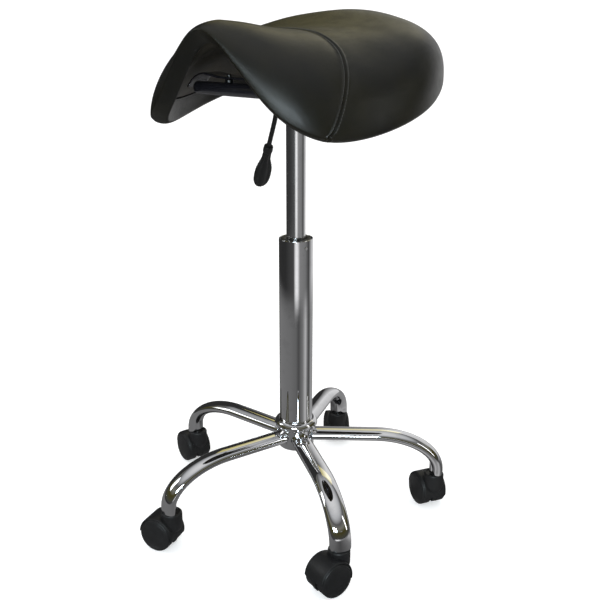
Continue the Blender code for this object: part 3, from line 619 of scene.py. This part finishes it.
def gridNormals(grid):
    # normals of a grid of points, turned to the side that faces away from the seat's middle
    normal = unit(np.cross(np.gradient(grid, axis=1), np.gradient(grid, axis=0)))
    sample = grid[grid.shape[0] // 2, 0]
    sign = np.sign(normal[grid.shape[0] // 2, 0] @ np.array([0.0, 0.0, 1.0])) if sample[2] > 0.7 else 1.0
    return normal * sign


def loopRound(s, point):
    # a closed loop from its right-hand half, the left half mirrored
    right = point(s)
    right[0, 0] = right[-1, 0] = 0.0
    return np.vstack([right, (right * [-1.0, 1.0, 1.0])[::-1][1:-1]])


def ringTube(loop, radius, count=12, flatten=1.0):
    # a round cord along a closed loop
    along = unit(np.roll(loop, -1, 0) - np.roll(loop, 1, 0))
    side = unit(np.cross(along, [0.0, 0.0, 1.0]))
    up = np.cross(side, along)
    a = np.linspace(0, 2 * math.pi, count, endpoint=False)
    grid = (
        loop[:, None]
        + side[:, None] * (radius * np.cos(a))[None, :, None]
        + up[:, None] * (radius * flatten * np.sin(a))[None, :, None]
    )
    return surface(grid, closeRows=True, closeColumns=True)


def sheetBetween(shares, topOf, bottomOf):
    # a thin closed sheet under the seat: up its lower face, round its edge and back over its upper face
    s = np.concatenate([np.linspace(0, 0.06, 12, endpoint=False), np.linspace(0.06, 1, 90)])
    low = bottomOf(s[:, None], shares[None, :])
    high = topOf(s[:, None], shares[None, :])
    middle = (low[:, :1] + high[:, :1]) / 2
    outward = unit(low[:, :1] - low[:, 2:3]) * 0.0006
    right = np.concatenate([low[:, ::-1], middle + outward, high], 1)
    right[0, :, 0] = right[-1, :, 0] = 0.0
    right[:, 0, 0] = right[:, -1, 0] = 0.0
    left = (right * [-1.0, 1.0, 1.0])[:, ::-1][:, 1:-1]
    return surface(np.concatenate([right, left], 1), closeColumns=True)


def stitchRow(points, normals, pitch, length, radius):
    # small stitches along a line: stretched beads, each with its long side along the line
    step = np.linalg.norm(np.diff(points, axis=0), axis=1)
    run = np.concatenate([[0], np.cumsum(step)])
    at = np.arange(pitch, run[-1] - pitch, pitch)
    centre = np.stack([np.interp(at, run, points[:, k]) for k in range(3)], -1)
    normal = unit(np.stack([np.interp(at, run, normals[:, k]) for k in range(3)], -1))
    ahead = np.stack([np.interp(at + 1e-4, run, points[:, k]) for k in range(3)], -1)
    along = unit(ahead - centre)
    side = np.cross(along, normal)
    u = np.linspace(-1, 1, 6)[:, None]
    a = np.linspace(0, 2 * math.pi, 6, endpoint=False)[None, :]
    fat = np.sqrt(np.clip(1 - np.abs(u) ** 2.6, 0, 1)) * radius
    bead = np.stack([u * length / 2 + 0 * a, fat * np.cos(a), fat * np.sin(a) - 0.25 * radius * u**2], -1)
    axes = np.stack([along, side, normal], 1)
    points = np.einsum("rcj,njk->nrck", bead, axes) + centre[:, None, None]
    faces = gridFaces(6, 6, closeColumns=True)
    starts = np.arange(len(at)) * 36
    return points.reshape(-1, 3), (faces[None] + starts[:, None, None]).reshape(-1, 4)


def seamLine(offset, lift):
    # a line beside the cross seam at a distance along the seat, lifted off the plain form
    share = np.concatenate([np.linspace(0.02, 1, 160), np.linspace(1, 0.02, 160)[1:]])
    s = seamStation(share[:160])
    s = np.concatenate([s, s[::-1][1:]])
    here, ahead = outerSkin(s, share), outerSkin(s + 0.004, share)
    along = unit(ahead - here)
    centre = here + along * offset
    across = np.gradient(here, axis=0)
    across[159] = across[158]
    normal = unit(np.cross(along, across))
    normal *= np.where(normal[:, 2:] < 0, -1.0, 1.0)
    centre = centre + normal * lift
    mirror = np.ones((len(share), 3))
    mirror[160:, 0] = -1.0
    centre, normal = centre * mirror, normal * mirror
    normal[158:161] = [0.0, 0.0, 1.0]
    return centre, normal


def makeSeat():
    cover = makePiece("seatCover", seatCover(), "seat", hide, ("seat_cushion",),
        sharpDeg=80, merge=1e-6)

    reach = seatForm["ridgeOffset"]
    rows = [stitchRow(*seamLine(offset, 0.00030), seatForm["stitchPitch"], 0.0031,
        0.00042) for offset in (-reach, reach)]
    makePiece("seamStitches", together(*rows), "seat", thread, ())

    share = seatForm["pipingShare"]
    s = np.concatenate([np.linspace(0, 0.05, 10, endpoint=False), np.linspace(0.05, 1, 130)])
    loop = loopRound(s, lambda at: underSkin(at, np.full(at.shape, share), 0.0007, 0.0009))
    makePiece("edgePiping", ringTube(loop, 0.0016), "seat", hide, ())

    shares = np.concatenate([[share + 0.030, share + 0.034, share + 0.045], np.linspace(share + 0.07, 1, 34)])
    dip = lambda at: eased(share, share + 0.30, at)
    makePiece(
        "seatPan",
        sheetBetween(shares, lambda s, at: underSkin(s, at, 0.0014, 0.0010), lambda s,
            at: underSkin(s, at, 0.0022 + 0.004 * dip(at), 0.0018 + 0.0048 * dip(at))),
        "seat", panPlastic, ("seat_shell",), sharpDeg=60,
    )
    makePiece(
        "underCover",
        sheetBetween(
            shares,
            lambda s, at: underSkin(s, at, 0.0026 + 0.004 * dip(at), 0.0022 + 0.0048 * dip(at)),
            lambda s, at: underSkin(s, at, 0.0044 + 0.004 * dip(at), 0.0042 + 0.0048 * dip(at)),
        ),
        "seat", underHide, ("under_lining",), sharpDeg=60,
    )


makeSeat()
print("seat")


mechanismForm = {
    "plateZ": 0.6545, "plateThick": 0.0026, "plateHalf": 0.046, "plateFront": -0.113, "plateRear": 0.104,
    "barZ": 0.6562, "barTall": 0.0086, "barDeep": 0.0078, "barHalf": 0.079, "strapThick": 0.003,
    "frontStrap": [(0.000, 0.6685), (0.036, 0.6685), (0.056, 0.6710), (0.069, 0.6722), (0.079, 0.6695),
        (0.088, 0.6635), (0.097, 0.6535)],
    "frontStrapY": (-0.112, -0.080),
    "rearStrap": [(0.000, 0.6685), (0.040, 0.6685), (0.060, 0.6680), (0.085, 0.6660)],
    "rearStrapY": (0.060, 0.096),
}


def plateShape(form):
    # a flat plate with rounded corners and softened edges: stacked rounded outlines
    w, front, rear = form["plateHalf"], form["plateFront"] + 0.004, form["plateRear"]
    outline = filleted([(-w, front), (w, front), (w, rear), (-w, rear)], 0.012, 9)
    hole = 0.0150 * unit(outline)
    z, t, soft = form["plateZ"], form["plateThick"], 0.0006
    middle = np.array([0.0, (front + rear) / 2])
    small = outline - unit(outline - middle) * soft
    layers = [(hole, z), (small, z), (outline, z + soft), (outline, z + t - soft), (small, z + t),
        (hole, z + t)]
    grid = np.stack([np.column_stack([rows, np.full(len(rows), level)]) for rows, level in layers])
    return surface(grid, closeRows=True, closeColumns=True)


def strapShape(profile, yRange, thick):
    # a pressed strap: a smooth mirrored underline, offset by its thickness, with rounded long edges
    half = throughPoints(np.asarray(profile, float), np.linspace(0, len(profile) - 1, 60))
    line = np.vstack([(half * [-1, 1])[::-1][:-1], half])
    kernel = np.exp(-np.linspace(-1.6, 1.6, 9) ** 2)
    kernel /= kernel.sum()
    padded = np.vstack([np.repeat(line[:1], 4, 0), line, np.repeat(line[-1:], 4, 0)])
    line = np.stack([np.convolve(padded[:, k], kernel, "valid") for k in range(2)], -1)
    path = np.column_stack([line[:, 0], np.full(len(line), sum(yRange) / 2), line[:, 1] + thick / 2])
    return carried(path, (0.0, 1.0, 0.0), (yRange[1] - yRange[0]) / 2, thick / 2, 40, power=7.0,
        rounding=0.0012)


def makeMechanism():
    form = mechanismForm
    barPath = np.column_stack([np.linspace(-1, 1, 9) * (form["barHalf"] - 0.0068),
        np.full(9, form["plateFront"] - 0.002), np.full(9, form["barZ"])])
    bar = carried(barPath, (0.0, 1.0, 0.0), form["barDeep"], form["barTall"], 36, rounding=0.0066)
    makePiece("mechanismPlate", together(plateShape(form), bar), "seat", enamel, ("mechanism_plate",))
    makePiece("frontStrap", strapShape(form["frontStrap"], form["frontStrapY"], form["strapThick"]), "seat",
        enamel, ("front_bracket",), 50)
    makePiece("rearStrap", strapShape(form["rearStrap"], form["rearStrapY"], form["strapThick"]), "seat",
        enamel, ("rear_bracket",), 50)
    socket = filleted([(0.0143, 0.6190), (0.0195, 0.6190), (0.0215, 0.6215), (0.0215, 0.6542),
        (0.0143, 0.6542)], 0.0008)
    collar = filleted([(0.0212, 0.6490), (0.0245, 0.6535), (0.0245, 0.6542), (0.0212, 0.6542)], 0.0002, 3)
    makePiece("taperSocket", together(spun(socket), spun(collar)), "seat", enamel, ("taper_socket",))
    for end, y in (("front", -0.098), ("rear", 0.078)):
        for side, x in (("left", 0.033), ("right", -0.033)):
            profile = filleted([
                (0.0, 0.6507), (0.0022, 0.6507), (0.0024, 0.6517), (0.0034, 0.6517), (0.0036, 0.6507),
                    (0.0050, 0.6508), (0.0056, 0.6514), (0.0056, 0.6541),
                (0.0030, 0.6543), (0.0030, 0.6574), (0.0058, 0.6574), (0.0058, 0.6681), (0.0030, 0.6682),
                    (0.0030, 0.6730), (0.0024, 0.6735), (0.0, 0.6735),
            ], 0.0003, 3, closed=False)
            points, faces = spun(profile, 28, closed=False)
            makePiece(f"strapBolt.{end}.{side}", (moved(points, x, y), faces), "seat", darkSteel,
                (f"bracket_bolt_{end}_{side}",))


leverForm = {
    "reach": 0.035, "radius": 0.0036,
    # the rod's centre line from its pivot, as (out, up)
    "line": [
        (-0.010, 0.0), (0.000, 0.0), (0.018, 0.0), (0.0245, -0.0014), (0.0305, -0.0070), (0.0352, -0.0190),
        (0.0402, -0.0400), (0.0466, -0.0590), (0.0560, -0.0745), (0.0770, -0.1060), (0.1090, -0.1567),
    ],
    "gripStart": (0.0770, -0.1060), "gripSlopeDeg": 57.7,
    # distance along the grip, half width, half thickness
    "grip": [
        (0.0000, 0.0052, 0.0052), (0.0004, 0.0062, 0.0062), (0.0018, 0.0072, 0.0070),
            (0.0094, 0.0076, 0.0072),
        (0.0112, 0.0071, 0.0066), (0.0118, 0.0066, 0.0060), (0.0180, 0.0064, 0.0055),
            (0.0250, 0.0071, 0.0052),
        (0.0325, 0.0096, 0.0051), (0.0400, 0.0120, 0.0051), (0.0490, 0.0133, 0.0051),
            (0.0590, 0.0136, 0.0050),
        (0.0680, 0.0129, 0.0048), (0.0745, 0.0110, 0.0045), (0.0793, 0.0080, 0.0038),
            (0.0820, 0.0043, 0.0026), (0.0830, 0.0012, 0.0010),
    ],
}


def leverPlace(points):
    # from the lever's own axes (X out along the lever, its pivot at the origin) to the stool's
    axis = np.array(joints["lever_lift"]["axis"])
    turn = math.atan2(axis[0], -axis[1])
    pivot = joints["lever_lift"]["pos_m"]
    return moved(points, pivot[0], pivot[1], pivot[2], turn)


def makeLever():
    form = leverForm
    line = throughPoints(form["line"], np.linspace(0, len(form["line"]) - 1, 90))
    path = np.column_stack([line[:, 0], np.zeros(len(line)), line[:, 1]])
    slope = math.radians(form["gripSlopeDeg"])
    down = np.array([math.cos(slope), 0.0, -math.sin(slope)])
    rod = carried(path, (0.0, 1.0, 0.0), form["radius"], form["radius"], 24, rounding=0.0008)
    tongue = carried(
        np.column_stack([np.linspace(-form["reach"] - 0.0025, -0.0065, 10), np.zeros(10), np.zeros(10)]),
        (0.0, 1.0, 0.0), np.array([0.0042, 0.0050, 0.0052, 0.0052, 0.0052, 0.0051, 0.0049, 0.0046, 0.0042,
            0.0037]),
        np.array([0.0012, 0.0014, 0.0014, 0.0014, 0.0014, 0.0015, 0.0018, 0.0023, 0.0029, 0.0034]), 24,
            power=4.0, rounding=0.0010,
    )
    pin = carried(np.array([[0, -0.0110, 0], [0, 0, 0], [0, 0.0110, 0]], float), (1.0, 0.0, 0.0), 0.0022,
        0.0022, 20, rounding=0.0005)
    points, faces = together(rod, tongue, pin)
    makePiece("leverRod", (leverPlace(points), faces), "lever", gripPlastic, ("lever_rod",))

    start = np.array([form["gripStart"][0], 0.0, form["gripStart"][1]])
    grip = throughPoints(np.array(form["grip"]), np.linspace(0, len(form["grip"]) - 1, 110))
    fade = eased(0.010, 0.020, grip[:, 0])
    centre = start + down * grip[:, :1]
    up = np.cross(down, [0.0, 1.0, 0.0])
    a = np.linspace(0, 2 * math.pi, 48, endpoint=False)[None, :]
    power = 2 + 1.1 * fade[:, None]
    x = np.sign(np.cos(a)) * np.abs(np.cos(a)) ** (2 / power)
    y = np.sign(np.sin(a)) * np.abs(np.sin(a)) ** (2 / power)
    # a raised keel down the middle of both faces, hollows beside it, and four grip
    # notches on the edges near the neck
    keel = 1 + fade[:, None] * (0.22 * bump(np.abs(y) - 1, 0, 0.05) * bump(x, 0,
        0.22) - 0.20 * bump(np.abs(x), 0.5, 0.2) * np.abs(y))
    notch = 1 - 0.10 * np.abs(x) ** 6 * sum(bump(grip[:, :1], at, 0.0012) for at in (0.0250, 0.0300, 0.0350,
        0.0400))
    grid = centre[:, None] + np.array([0.0, 1.0,
        0.0]) * (grip[:, 1:2] * x * notch)[..., None] + up * (grip[:, 2:3] * y * keel)[..., None]
    caps = [np.broadcast_to(grid[i].mean(0), (1, 48, 3)) for i in (0, -1)]
    points, faces = surface(np.concatenate([caps[0], grid, caps[1]]), closeColumns=True)
    makePiece("leverGrip", (leverPlace(points), faces), "lever", gripPlastic, ("lever_handle",),
        50)


makeMechanism()
makeLever()
print("mechanism and lever")


def makeColumn():
    tube = filleted([(0.0234, 0.1126), (0.0250, 0.1126), (0.0250, 0.4400), (0.0234, 0.4400)], 0.0007, 5)
    makePiece("columnTube", spun(tube, 96), "base", chrome, ("column_tube",))
    bush = filleted([(0.0142, 0.4050), (0.0231, 0.4050), (0.0231, 0.4385), (0.0212, 0.4397),
        (0.0162, 0.4397), (0.0142, 0.4372)], 0.0006, 4)
    makePiece("guideBush", spun(bush, 72), "base", bushPlastic, ("guide_bush",))
    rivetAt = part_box("bush_rivet")
    centre = np.array((rivetAt[0] + rivetAt[1]) / 2)
    outward = unit(np.array([centre[0], centre[1], 0.0]))
    head = [(0.0, 0.0204), (0.0012, 0.0204), (0.0012, 0.0252), (0.0024, 0.0252), (0.0023, 0.0256),
        (0.0016, 0.0261), (0.0007, 0.0263), (0.0, 0.0263)]
    makePiece("bushRivet", onAxis(spun(head, 24, closed=False), (0.0, 0.0, centre[2]), outward), "base",
        chrome, ("bush_rivet",))

    cylinder = filleted([
        (0.0053, 0.3450), (0.0130, 0.3450), (0.0140, 0.3470), (0.0140, 0.6150), (0.0128, 0.6550),
            (0.0035, 0.6550),
        (0.0035, 0.6430), (0.0118, 0.6410), (0.0118, 0.3540), (0.0053, 0.3530),
    ], 0.0008, 4)
    makePiece("gasCylinder", spun(cylinder, 80), "seat", cylinderSteel, ("gas_cylinder",))

    hub = filleted([
        (0.0056, 0.1085), (0.0105, 0.1085), (0.0105, 0.1065), (0.0250, 0.1065), (0.0275, 0.1090),
            (0.0275, 0.1375), (0.0280, 0.1395), (0.0318, 0.1415), (0.0332, 0.1440),
        (0.0332, 0.1475), (0.0312, 0.1510), (0.0285, 0.1530), (0.0253, 0.1530), (0.0253, 0.1120),
            (0.0056, 0.1120),
    ], [0.0004, 0.0004, 0.0004, 0.0015, 0.0015, 0.001, 0.0012, 0.0012, 0.0012, 0.0012, 0.0012, 0.001, 0.0004,
        0.0004, 0.0004], 5)
    makePiece("hub", spun(hub, 96), "base", chrome, ("hub",))


legForm = {
    "start": 0.0265, "level": 0.125, "end": 0.2225, "z": 0.1255, "dropZ": 0.0675, "cutZ": 0.0615,
    "halfWidth": 0.0155, "halfHeight": 0.0090, "socketAt": 0.2180,
}


def legPath(form):
    # level from the hub, a quarter ellipse down, then straight to the cut end
    a = np.linspace(0, math.pi / 2, 44)
    level = np.linspace(form["start"], form["level"], 16)[:-1]
    bendX = form["level"] + (form["end"] - form["level"]) * np.sin(a)
    bendZ = form["dropZ"] + (form["z"] - form["dropZ"]) * np.cos(a)
    x = np.concatenate([level, bendX, [form["end"]]])
    z = np.concatenate([np.full(len(level), form["z"]), bendZ, [form["cutZ"] + 0.0008]])
    return np.column_stack([x, 0 * x, z])


def makeLegs():
    form = legForm
    path = legPath(form)
    sleeve = filleted([(0.0056, 0.0616), (0.0076, 0.0616), (0.0076, 0.0905), (0.0056, 0.0905)], 0.0005, 4)
    for k in range(5):
        number, turn = k + 1, math.radians(36 + 72 * k)
        points, faces = carried(path, (0.0, 1.0, 0.0), form["halfWidth"], form["halfHeight"], 48,
            rounding=0.0008)
        makePiece(f"leg.{number}", (moved(points, turn=turn), faces), "base", chrome,
            (f"leg_tube_{number}",), 50)
        points, faces = spun(sleeve, 36)
        points = moved(moved(points, x=form["socketAt"]), turn=turn)
        makePiece(f"castorSocket.{number}", (points, faces), "base", chrome, (f"castor_socket_{number}",))


makeColumn()
makeLegs()
print("column and legs")


castorForm = {
    "wheelRadius": 0.025, "innerFace": 0.0042, "outerFace": 0.0205, "crown": 0.0230,
    "hoodRadius": 0.0276, "hoodHalf": 0.0192, "hoodTop": 0.0605, "collarRadius": 0.0155, "trail": 0.018,
}


def hoodShape(form):
    # stem axis at the origin, wheels behind towards +X. The cover is
    # a section carried along an arc round the axle.
    half, outer, wall = form["hoodHalf"], form["hoodRadius"], 0.0022
    section = filleted([
        (-half, outer - wall), (-half, outer - 0.0010), (-half + 0.0020, outer), (half - 0.0020, outer),
            (half, outer - 0.0010), (half, outer - wall),
    ], [0.0005, 0.0012, 0.0018, 0.0018, 0.0012, 0.0005], 5)
    angle = np.radians(np.linspace(4, 192, 64))
    cosine, sine = np.cos(angle), np.sin(angle)
    radius = section[None, :, 1] + 0 * angle[:, None]
    grid = np.stack([form["trail"] + radius * cosine[:, None], np.broadcast_to(section[:, 0], radius.shape),
        form["wheelRadius"] + radius * sine[:, None]], -1)
    ends = [np.broadcast_to(grid[i].mean(0), (1,) + grid.shape[1:]) for i in (0, -1)]
    cover = surface(np.concatenate([ends[0], grid, ends[1]]), closeColumns=True)

    # the web between the wheels: a rounded slab
    a = np.linspace(0, 2 * math.pi, 72, endpoint=False)
    reach = np.where(np.sin(a) < -0.55, 0.0150 / np.maximum(np.abs(np.sin(a)), 0.55), 0.0262)
    outline = np.column_stack([form["trail"] + reach * np.cos(a), form["wheelRadius"] + reach * np.sin(a)])
    thick = form["innerFace"] - 0.0008
    slabPath = np.array([[0.0, -thick, 0.0], [0.0, thick, 0.0]])
    web = outlineCarried(outline, slabPath, (1.0, 0.0, 0.0), (0.0, 0.0, 1.0))

    r, top = form["collarRadius"], form["hoodTop"]
    collar = filleted([
        (0.0, 0.0300), (r - 0.004, 0.0300), (r - 0.0004, 0.0360), (r, 0.0420), (r, top - 0.0020),
            (r - 0.0018, top),
        (r - 0.0034, top), (r - 0.0040, top - 0.0016), (0.0056, top - 0.0022), (0.0056, 0.0450),
            (0.0, 0.0450),
    ], [0.0005, 0.003, 0.003, 0.001, 0.0010, 0.0010, 0.0005, 0.0004, 0.0003, 0.0003, 0.0003], 5, closed=False)
    return together(cover, web, spun(collar, 56, closed=False))


def wheelShape(form, side):
    # rim, tread and a slightly domed face with a shallow ring near its edge; side is -1 or +1 along the axle
    bore, r = 0.0039, form["wheelRadius"]
    inner, face, crown = form["innerFace"], form["outerFace"], form["crown"]
    profile = np.array([
        (0.0, crown), (0.0050, crown - 0.00005), (0.0100, crown - 0.0003), (0.0150, crown - 0.0008),
            (0.0190, crown - 0.0014),
        (0.0208, face + 0.0007), (0.0214, face + 0.0001), (0.0220, face + 0.0003), (0.0232, face - 0.0001),
            (0.0244, face - 0.0010),
        (r, face - 0.0024), (r, inner + 0.0020), (r - 0.0008, inner + 0.0006), (r - 0.0022, inner),
            (0.0200, inner), (0.0192, inner + 0.0020),
        (0.0080, inner + 0.0020), (0.0072, inner), (bore, inner), (bore, face - 0.0030), (0.0, face - 0.0030),
    ])
    profile = filleted(profile, 0.0006, 4, closed=False)
    points, faces = spun(profile, 72, closed=False)
    return onAxis((points, faces), (form["trail"], 0.0, r), (0.0, float(side), 0.0))


def makeCastors():
    form = castorForm
    for number in range(1, 6):
        pivot = np.array(joints[f"castor_swivel_{number}"]["pos_m"])
        axle = np.array(joints[f"wheel_spin_left_{number}"]["pos_m"])
        heading = math.atan2(axle[1] - pivot[1], axle[0] - pivot[0])
        put = lambda shape: (moved(shape[0], pivot[0], pivot[1], 0.0, heading), shape[1])
        body = f"castor_{number}"
        makePiece(f"castorHood.{number}", put(hoodShape(form)), body, hoodPlastic,
            (f"castor_hood_{number}",), 50)
        stem = filleted([(0.0, 0.0455), (0.0050, 0.0455), (0.0050, 0.0590), (0.0052, 0.0600),
            (0.0052, 0.0860), (0.0042, 0.0870), (0.0, 0.0870)], 0.0004, 3, closed=False)
        makePiece(f"castorStem.{number}", put(spun(stem, 28, closed=False)), body, boltSteel,
            (f"castor_stem_{number}",))
        reach = form["outerFace"] - 0.0035
        pin = [(0.0, -reach), (0.0031, -reach), (0.0035, 0.0004 - reach), (0.0035, reach - 0.0004),
            (0.0031, reach), (0.0, reach)]
        makePiece(f"castorAxle.{number}",
            put(onAxis(spun(pin, 20, closed=False), (form["trail"], 0.0, form["wheelRadius"]),
                (0.0, 1.0, 0.0))), body, boltSteel, (f"castor_axle_{number}",))
        for side, name in ((1, "left"), (-1, "right")):
            node = f"castor_wheel_{name}_{number}"
            low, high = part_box(node)
            wheelMiddle = np.array((low + high) / 2)[:2] - axle[:2]
            across = np.array([-math.sin(heading), math.cos(heading)])
            way = 1 if wheelMiddle @ across > 0 else -1
            makePiece(f"castorWheel.{name}.{number}", put(wheelShape(form, way)), f"wheel_{name}_{number}",
                wheelPlastic, (node,), 50)


makeCastors()
print("castors")


keptLooks = {
    "bearing_lower_race": boltSteel, "bearing_upper_race": boltSteel, "piston_rod": cylinderSteel,
        "retaining_clip": boltSteel,
    "rubber_buffer": rubber, "lever_bracket": enamel, "release_button": bushPlastic,
}
for node, look in keptLooks.items():
    for slotOf in frame["nodes"][node].material_slots:
        slotOf.material = look


studio = {
    "floorColour": (0.88, 0.88, 0.88), "worldStrength": 0.80, "paperGlow": 0.42,
    # name: place, what it faces, width, height, watts, colour
    "lights": {
        "warm overhead": ((-0.9, 1.7, 1.9), (0.0, 0.0, 0.65), 1.6, 0.8, 2.2, (1.0, 0.88, 0.34)),
        "cool front": ((1.15, -2.05, 1.22), (0.0, -0.05, 0.62), 1.1, 0.40, 34.0, (0.80, 0.93, 1.0)),
        "left panel": ((-2.0, -1.3, 1.6), (0.0, 0.0, 0.5), 0.7, 1.2, 8.0, (0.95, 0.98, 1.0)),
        "right strip": ((2.2, 0.8, 1.3), (0.0, 0.0, 0.4), 0.25, 1.5, 4.0, (1.0, 1.0, 1.0)),
    },
    # what mirrors see: the room's tone by the sine of the elevation, and the floor's painted reflection, its
    # tone by the bearing from the camera's side, in whole turns, close to the stool and further away
    "room": [
        (0.50, (0.05, 0.05, 0.05)), (0.56, (0.06, 0.06, 0.04)), (0.67, (0.060, 0.052, 0.012)),
            (0.76, (0.20, 0.20, 0.17)),
        (0.84, (0.10, 0.10, 0.10)), (0.92, (0.50, 0.51, 0.52)), (1.00, (0.75, 0.75, 0.75)),
    ],
    "nearFloor": [
        (0.00, (0.06, 0.06, 0.06)), (0.15, (0.20, 0.20, 0.20)), (0.40, (0.17, 0.17, 0.17)),
            (0.50, (0.14, 0.14, 0.14)),
        (0.55, (0.075, 0.075, 0.075)), (0.63, (0.20, 0.20, 0.20)), (0.69, (0.52, 0.52, 0.52)),
            (0.73, (0.20, 0.20, 0.20)),
        (0.77, (0.06, 0.06, 0.06)), (0.86, (0.40, 0.40, 0.40)), (1.00, (0.06, 0.06, 0.06)),
    ],
    "farFloor": [
        (0.00, (0.03, 0.03, 0.03)), (0.30, (0.03, 0.03, 0.03)), (0.46, (0.07, 0.07, 0.07)),
            (0.495, (0.95, 0.95, 0.95)),
        (0.525, (1.00, 1.00, 1.00)), (0.57, (0.25, 0.25, 0.25)), (0.68, (0.20, 0.20, 0.20)),
            (0.76, (0.05, 0.05, 0.05)),
        (0.85, (0.60, 0.60, 0.60)), (0.95, (0.80, 0.80, 0.80)), (1.00, (0.10, 0.10, 0.10)),
    ],
    "camera": (0.7503, -0.9474, 0.756), "pitchDeg": 18.8, "lens": 51.6, "shiftX": 0.0067,
}


def backdropShape():
    # a level floor that curves up into a far wall: profile along X swept straight
    a = np.linspace(0, math.pi / 2, 24)
    radius, far = 6.0, 24.0
    run = np.concatenate([[-30.0, 0.0], far - radius + radius * np.sin(a), [far]])
    rise = np.concatenate([[0.0, 0.0], radius - radius * np.cos(a), [26.0]])
    across = np.linspace(-40, 40, 9)
    grid = np.stack([np.stack([np.full(len(run), x), run, rise], -1) for x in across])
    return surface(grid)


def paperAndPaintedReflectionLook(yaw):
    # pale paper; glossy rays see instead a painted reflection: a dim emitting floor whose tone changes with
    # the bearing, dark and bright bands that stand in for studio flags which are not there
    paper = Look("pale paper", Roughness=0.9, Specular_IOR_Level=0.2)
    paper.set(Base_Color=paper.tinted(paper.noise(3.0, 3.0).between(0.3, 0.7), studio["floorColour"],
        tuple(0.985 * c for c in studio["floorColour"])))
    paper.set(Emission_Color=(1.0, 1.0, 1.0, 1.0), Emission_Strength=studio["paperGlow"])
    spot = paper.make("ShaderNodeSeparateXYZ", None, {"Vector": paper.place()})
    x, y = spot, Wire(paper, spot.socket.node.outputs[1])
    c, s = math.cos(yaw), math.sin(yaw)
    ahead, aside = x * s - y * c, x * c + y * s
    bearing = aside.sum("ARCTAN2", aside, ahead) / (2 * math.pi) + 0.5
    distance = (ahead * ahead + aside * aside) ** 0.5
    # painted reflection: banded floor tones by bearing, near the stool and further off, that only glossy rays
    # see
    near = paper.make("ShaderNodeValToRGB", {"stops": studio["nearFloor"]}, {"Fac": bearing})
    far = paper.make("ShaderNodeValToRGB", {"stops": studio["farFloor"]}, {"Fac": bearing})
    tone = paper.nodes.new("ShaderNodeMix")
    tone.data_type = "RGBA"
    paper.feed(tone.inputs["Factor"], distance.between(0.95, 1.55))
    paper.feed(tone.inputs[6], near)
    paper.feed(tone.inputs[7], far)
    # the painted reflection glows on its own and replaces the paper for glossy rays
    paintedReflection = paper.make("ShaderNodeEmission", None, {"Color": Wire(paper, tone.outputs[2])})
    mirrored = paper.make("ShaderNodeLightPath", output="Is Glossy Ray")
    mixed = paper.nodes.new("ShaderNodeMixShader")
    paper.feed(mixed.inputs[0], mirrored)
    paper.links.new(paper.shader.outputs[0], mixed.inputs[1])
    paper.links.new(paintedReflection.socket, mixed.inputs[2])
    paper.links.new(mixed.outputs[0], paper.nodes["Material Output"].inputs["Surface"])
    return paper.material


def makeWorld():
    # an even white room; mirrors see instead a dim one, brightest overhead
    world = bpy.data.worlds.new("studio")
    bpy.context.scene.world = world
    world.use_nodes = True
    nodes, links = world.node_tree.nodes, world.node_tree.links
    even = nodes["Background"]
    even.inputs["Strength"].default_value = studio["worldStrength"]
    even.inputs["Color"].default_value = (1.0, 1.0, 1.0, 1)
    split = nodes.new("ShaderNodeSeparateXYZ")
    ramp = nodes.new("ShaderNodeValToRGB")
    dim = nodes.new("ShaderNodeBackground")
    half = nodes.new("ShaderNodeMath")
    mixed = nodes.new("ShaderNodeMixShader")
    path = nodes.new("ShaderNodeLightPath")
    links.new(nodes.new("ShaderNodeTexCoord").outputs["Generated"], split.inputs[0])
    half.operation = "MULTIPLY_ADD"
    half.inputs[1].default_value = half.inputs[2].default_value = 0.5
    links.new(split.outputs[2], half.inputs[0])
    links.new(half.outputs[0], ramp.inputs[0])
    elements = ramp.color_ramp.elements
    while len(elements) < len(studio["room"]):
        elements.new(1.0)
    for element, (place, colour) in zip(elements, studio["room"]):
        element.position, element.color = place, (*colour, 1)
    links.new(ramp.outputs[0], dim.inputs["Color"])
    links.new(path.outputs["Is Glossy Ray"], mixed.inputs[0])
    links.new(even.outputs[0], mixed.inputs[1])
    links.new(dim.outputs[0], mixed.inputs[2])
    links.new(mixed.outputs[0], nodes["World Output"].inputs["Surface"])


def makeStudio():
    points, faces = backdropShape()
    yaw = math.atan2(studio["camera"][0], -studio["camera"][1])
    floor = makePiece("floor", (moved(points, turn=yaw), faces[:, ::-1]), None, paperAndPaintedReflectionLook(yaw))
    up = floor.data.polygons[0].normal.z
    if up < 0:
        floor.data.flip_normals()
    makeWorld()
    for name, (place, target, width, height, watts, colour) in studio["lights"].items():
        lamp = bpy.data.lights.new(name, "AREA")
        lamp.shape = "RECTANGLE"
        lamp.size, lamp.size_y = width, height
        lamp.energy, lamp.color = watts, colour
        holder = bpy.data.objects.new(name, lamp)
        holder.location = place
        toward = np.array(target) - np.array(place)
        holder.rotation_mode = "QUATERNION"
        holder.rotation_quaternion = Vector(toward).to_track_quat("-Z", "Y")
        bpy.context.scene.collection.objects.link(holder)
    camera = bpy.data.objects.new("camera", bpy.data.cameras.new("camera"))
    camera.location = studio["camera"]
    camera.rotation_euler = (math.radians(90 - studio["pitchDeg"]), 0.0, yaw)
    camera.data.lens, camera.data.sensor_width, camera.data.shift_x = studio["lens"], 36.0, studio["shiftX"]
    bpy.context.scene.collection.objects.link(camera)
    bpy.context.scene.camera = camera


makeStudio()
print("studio")
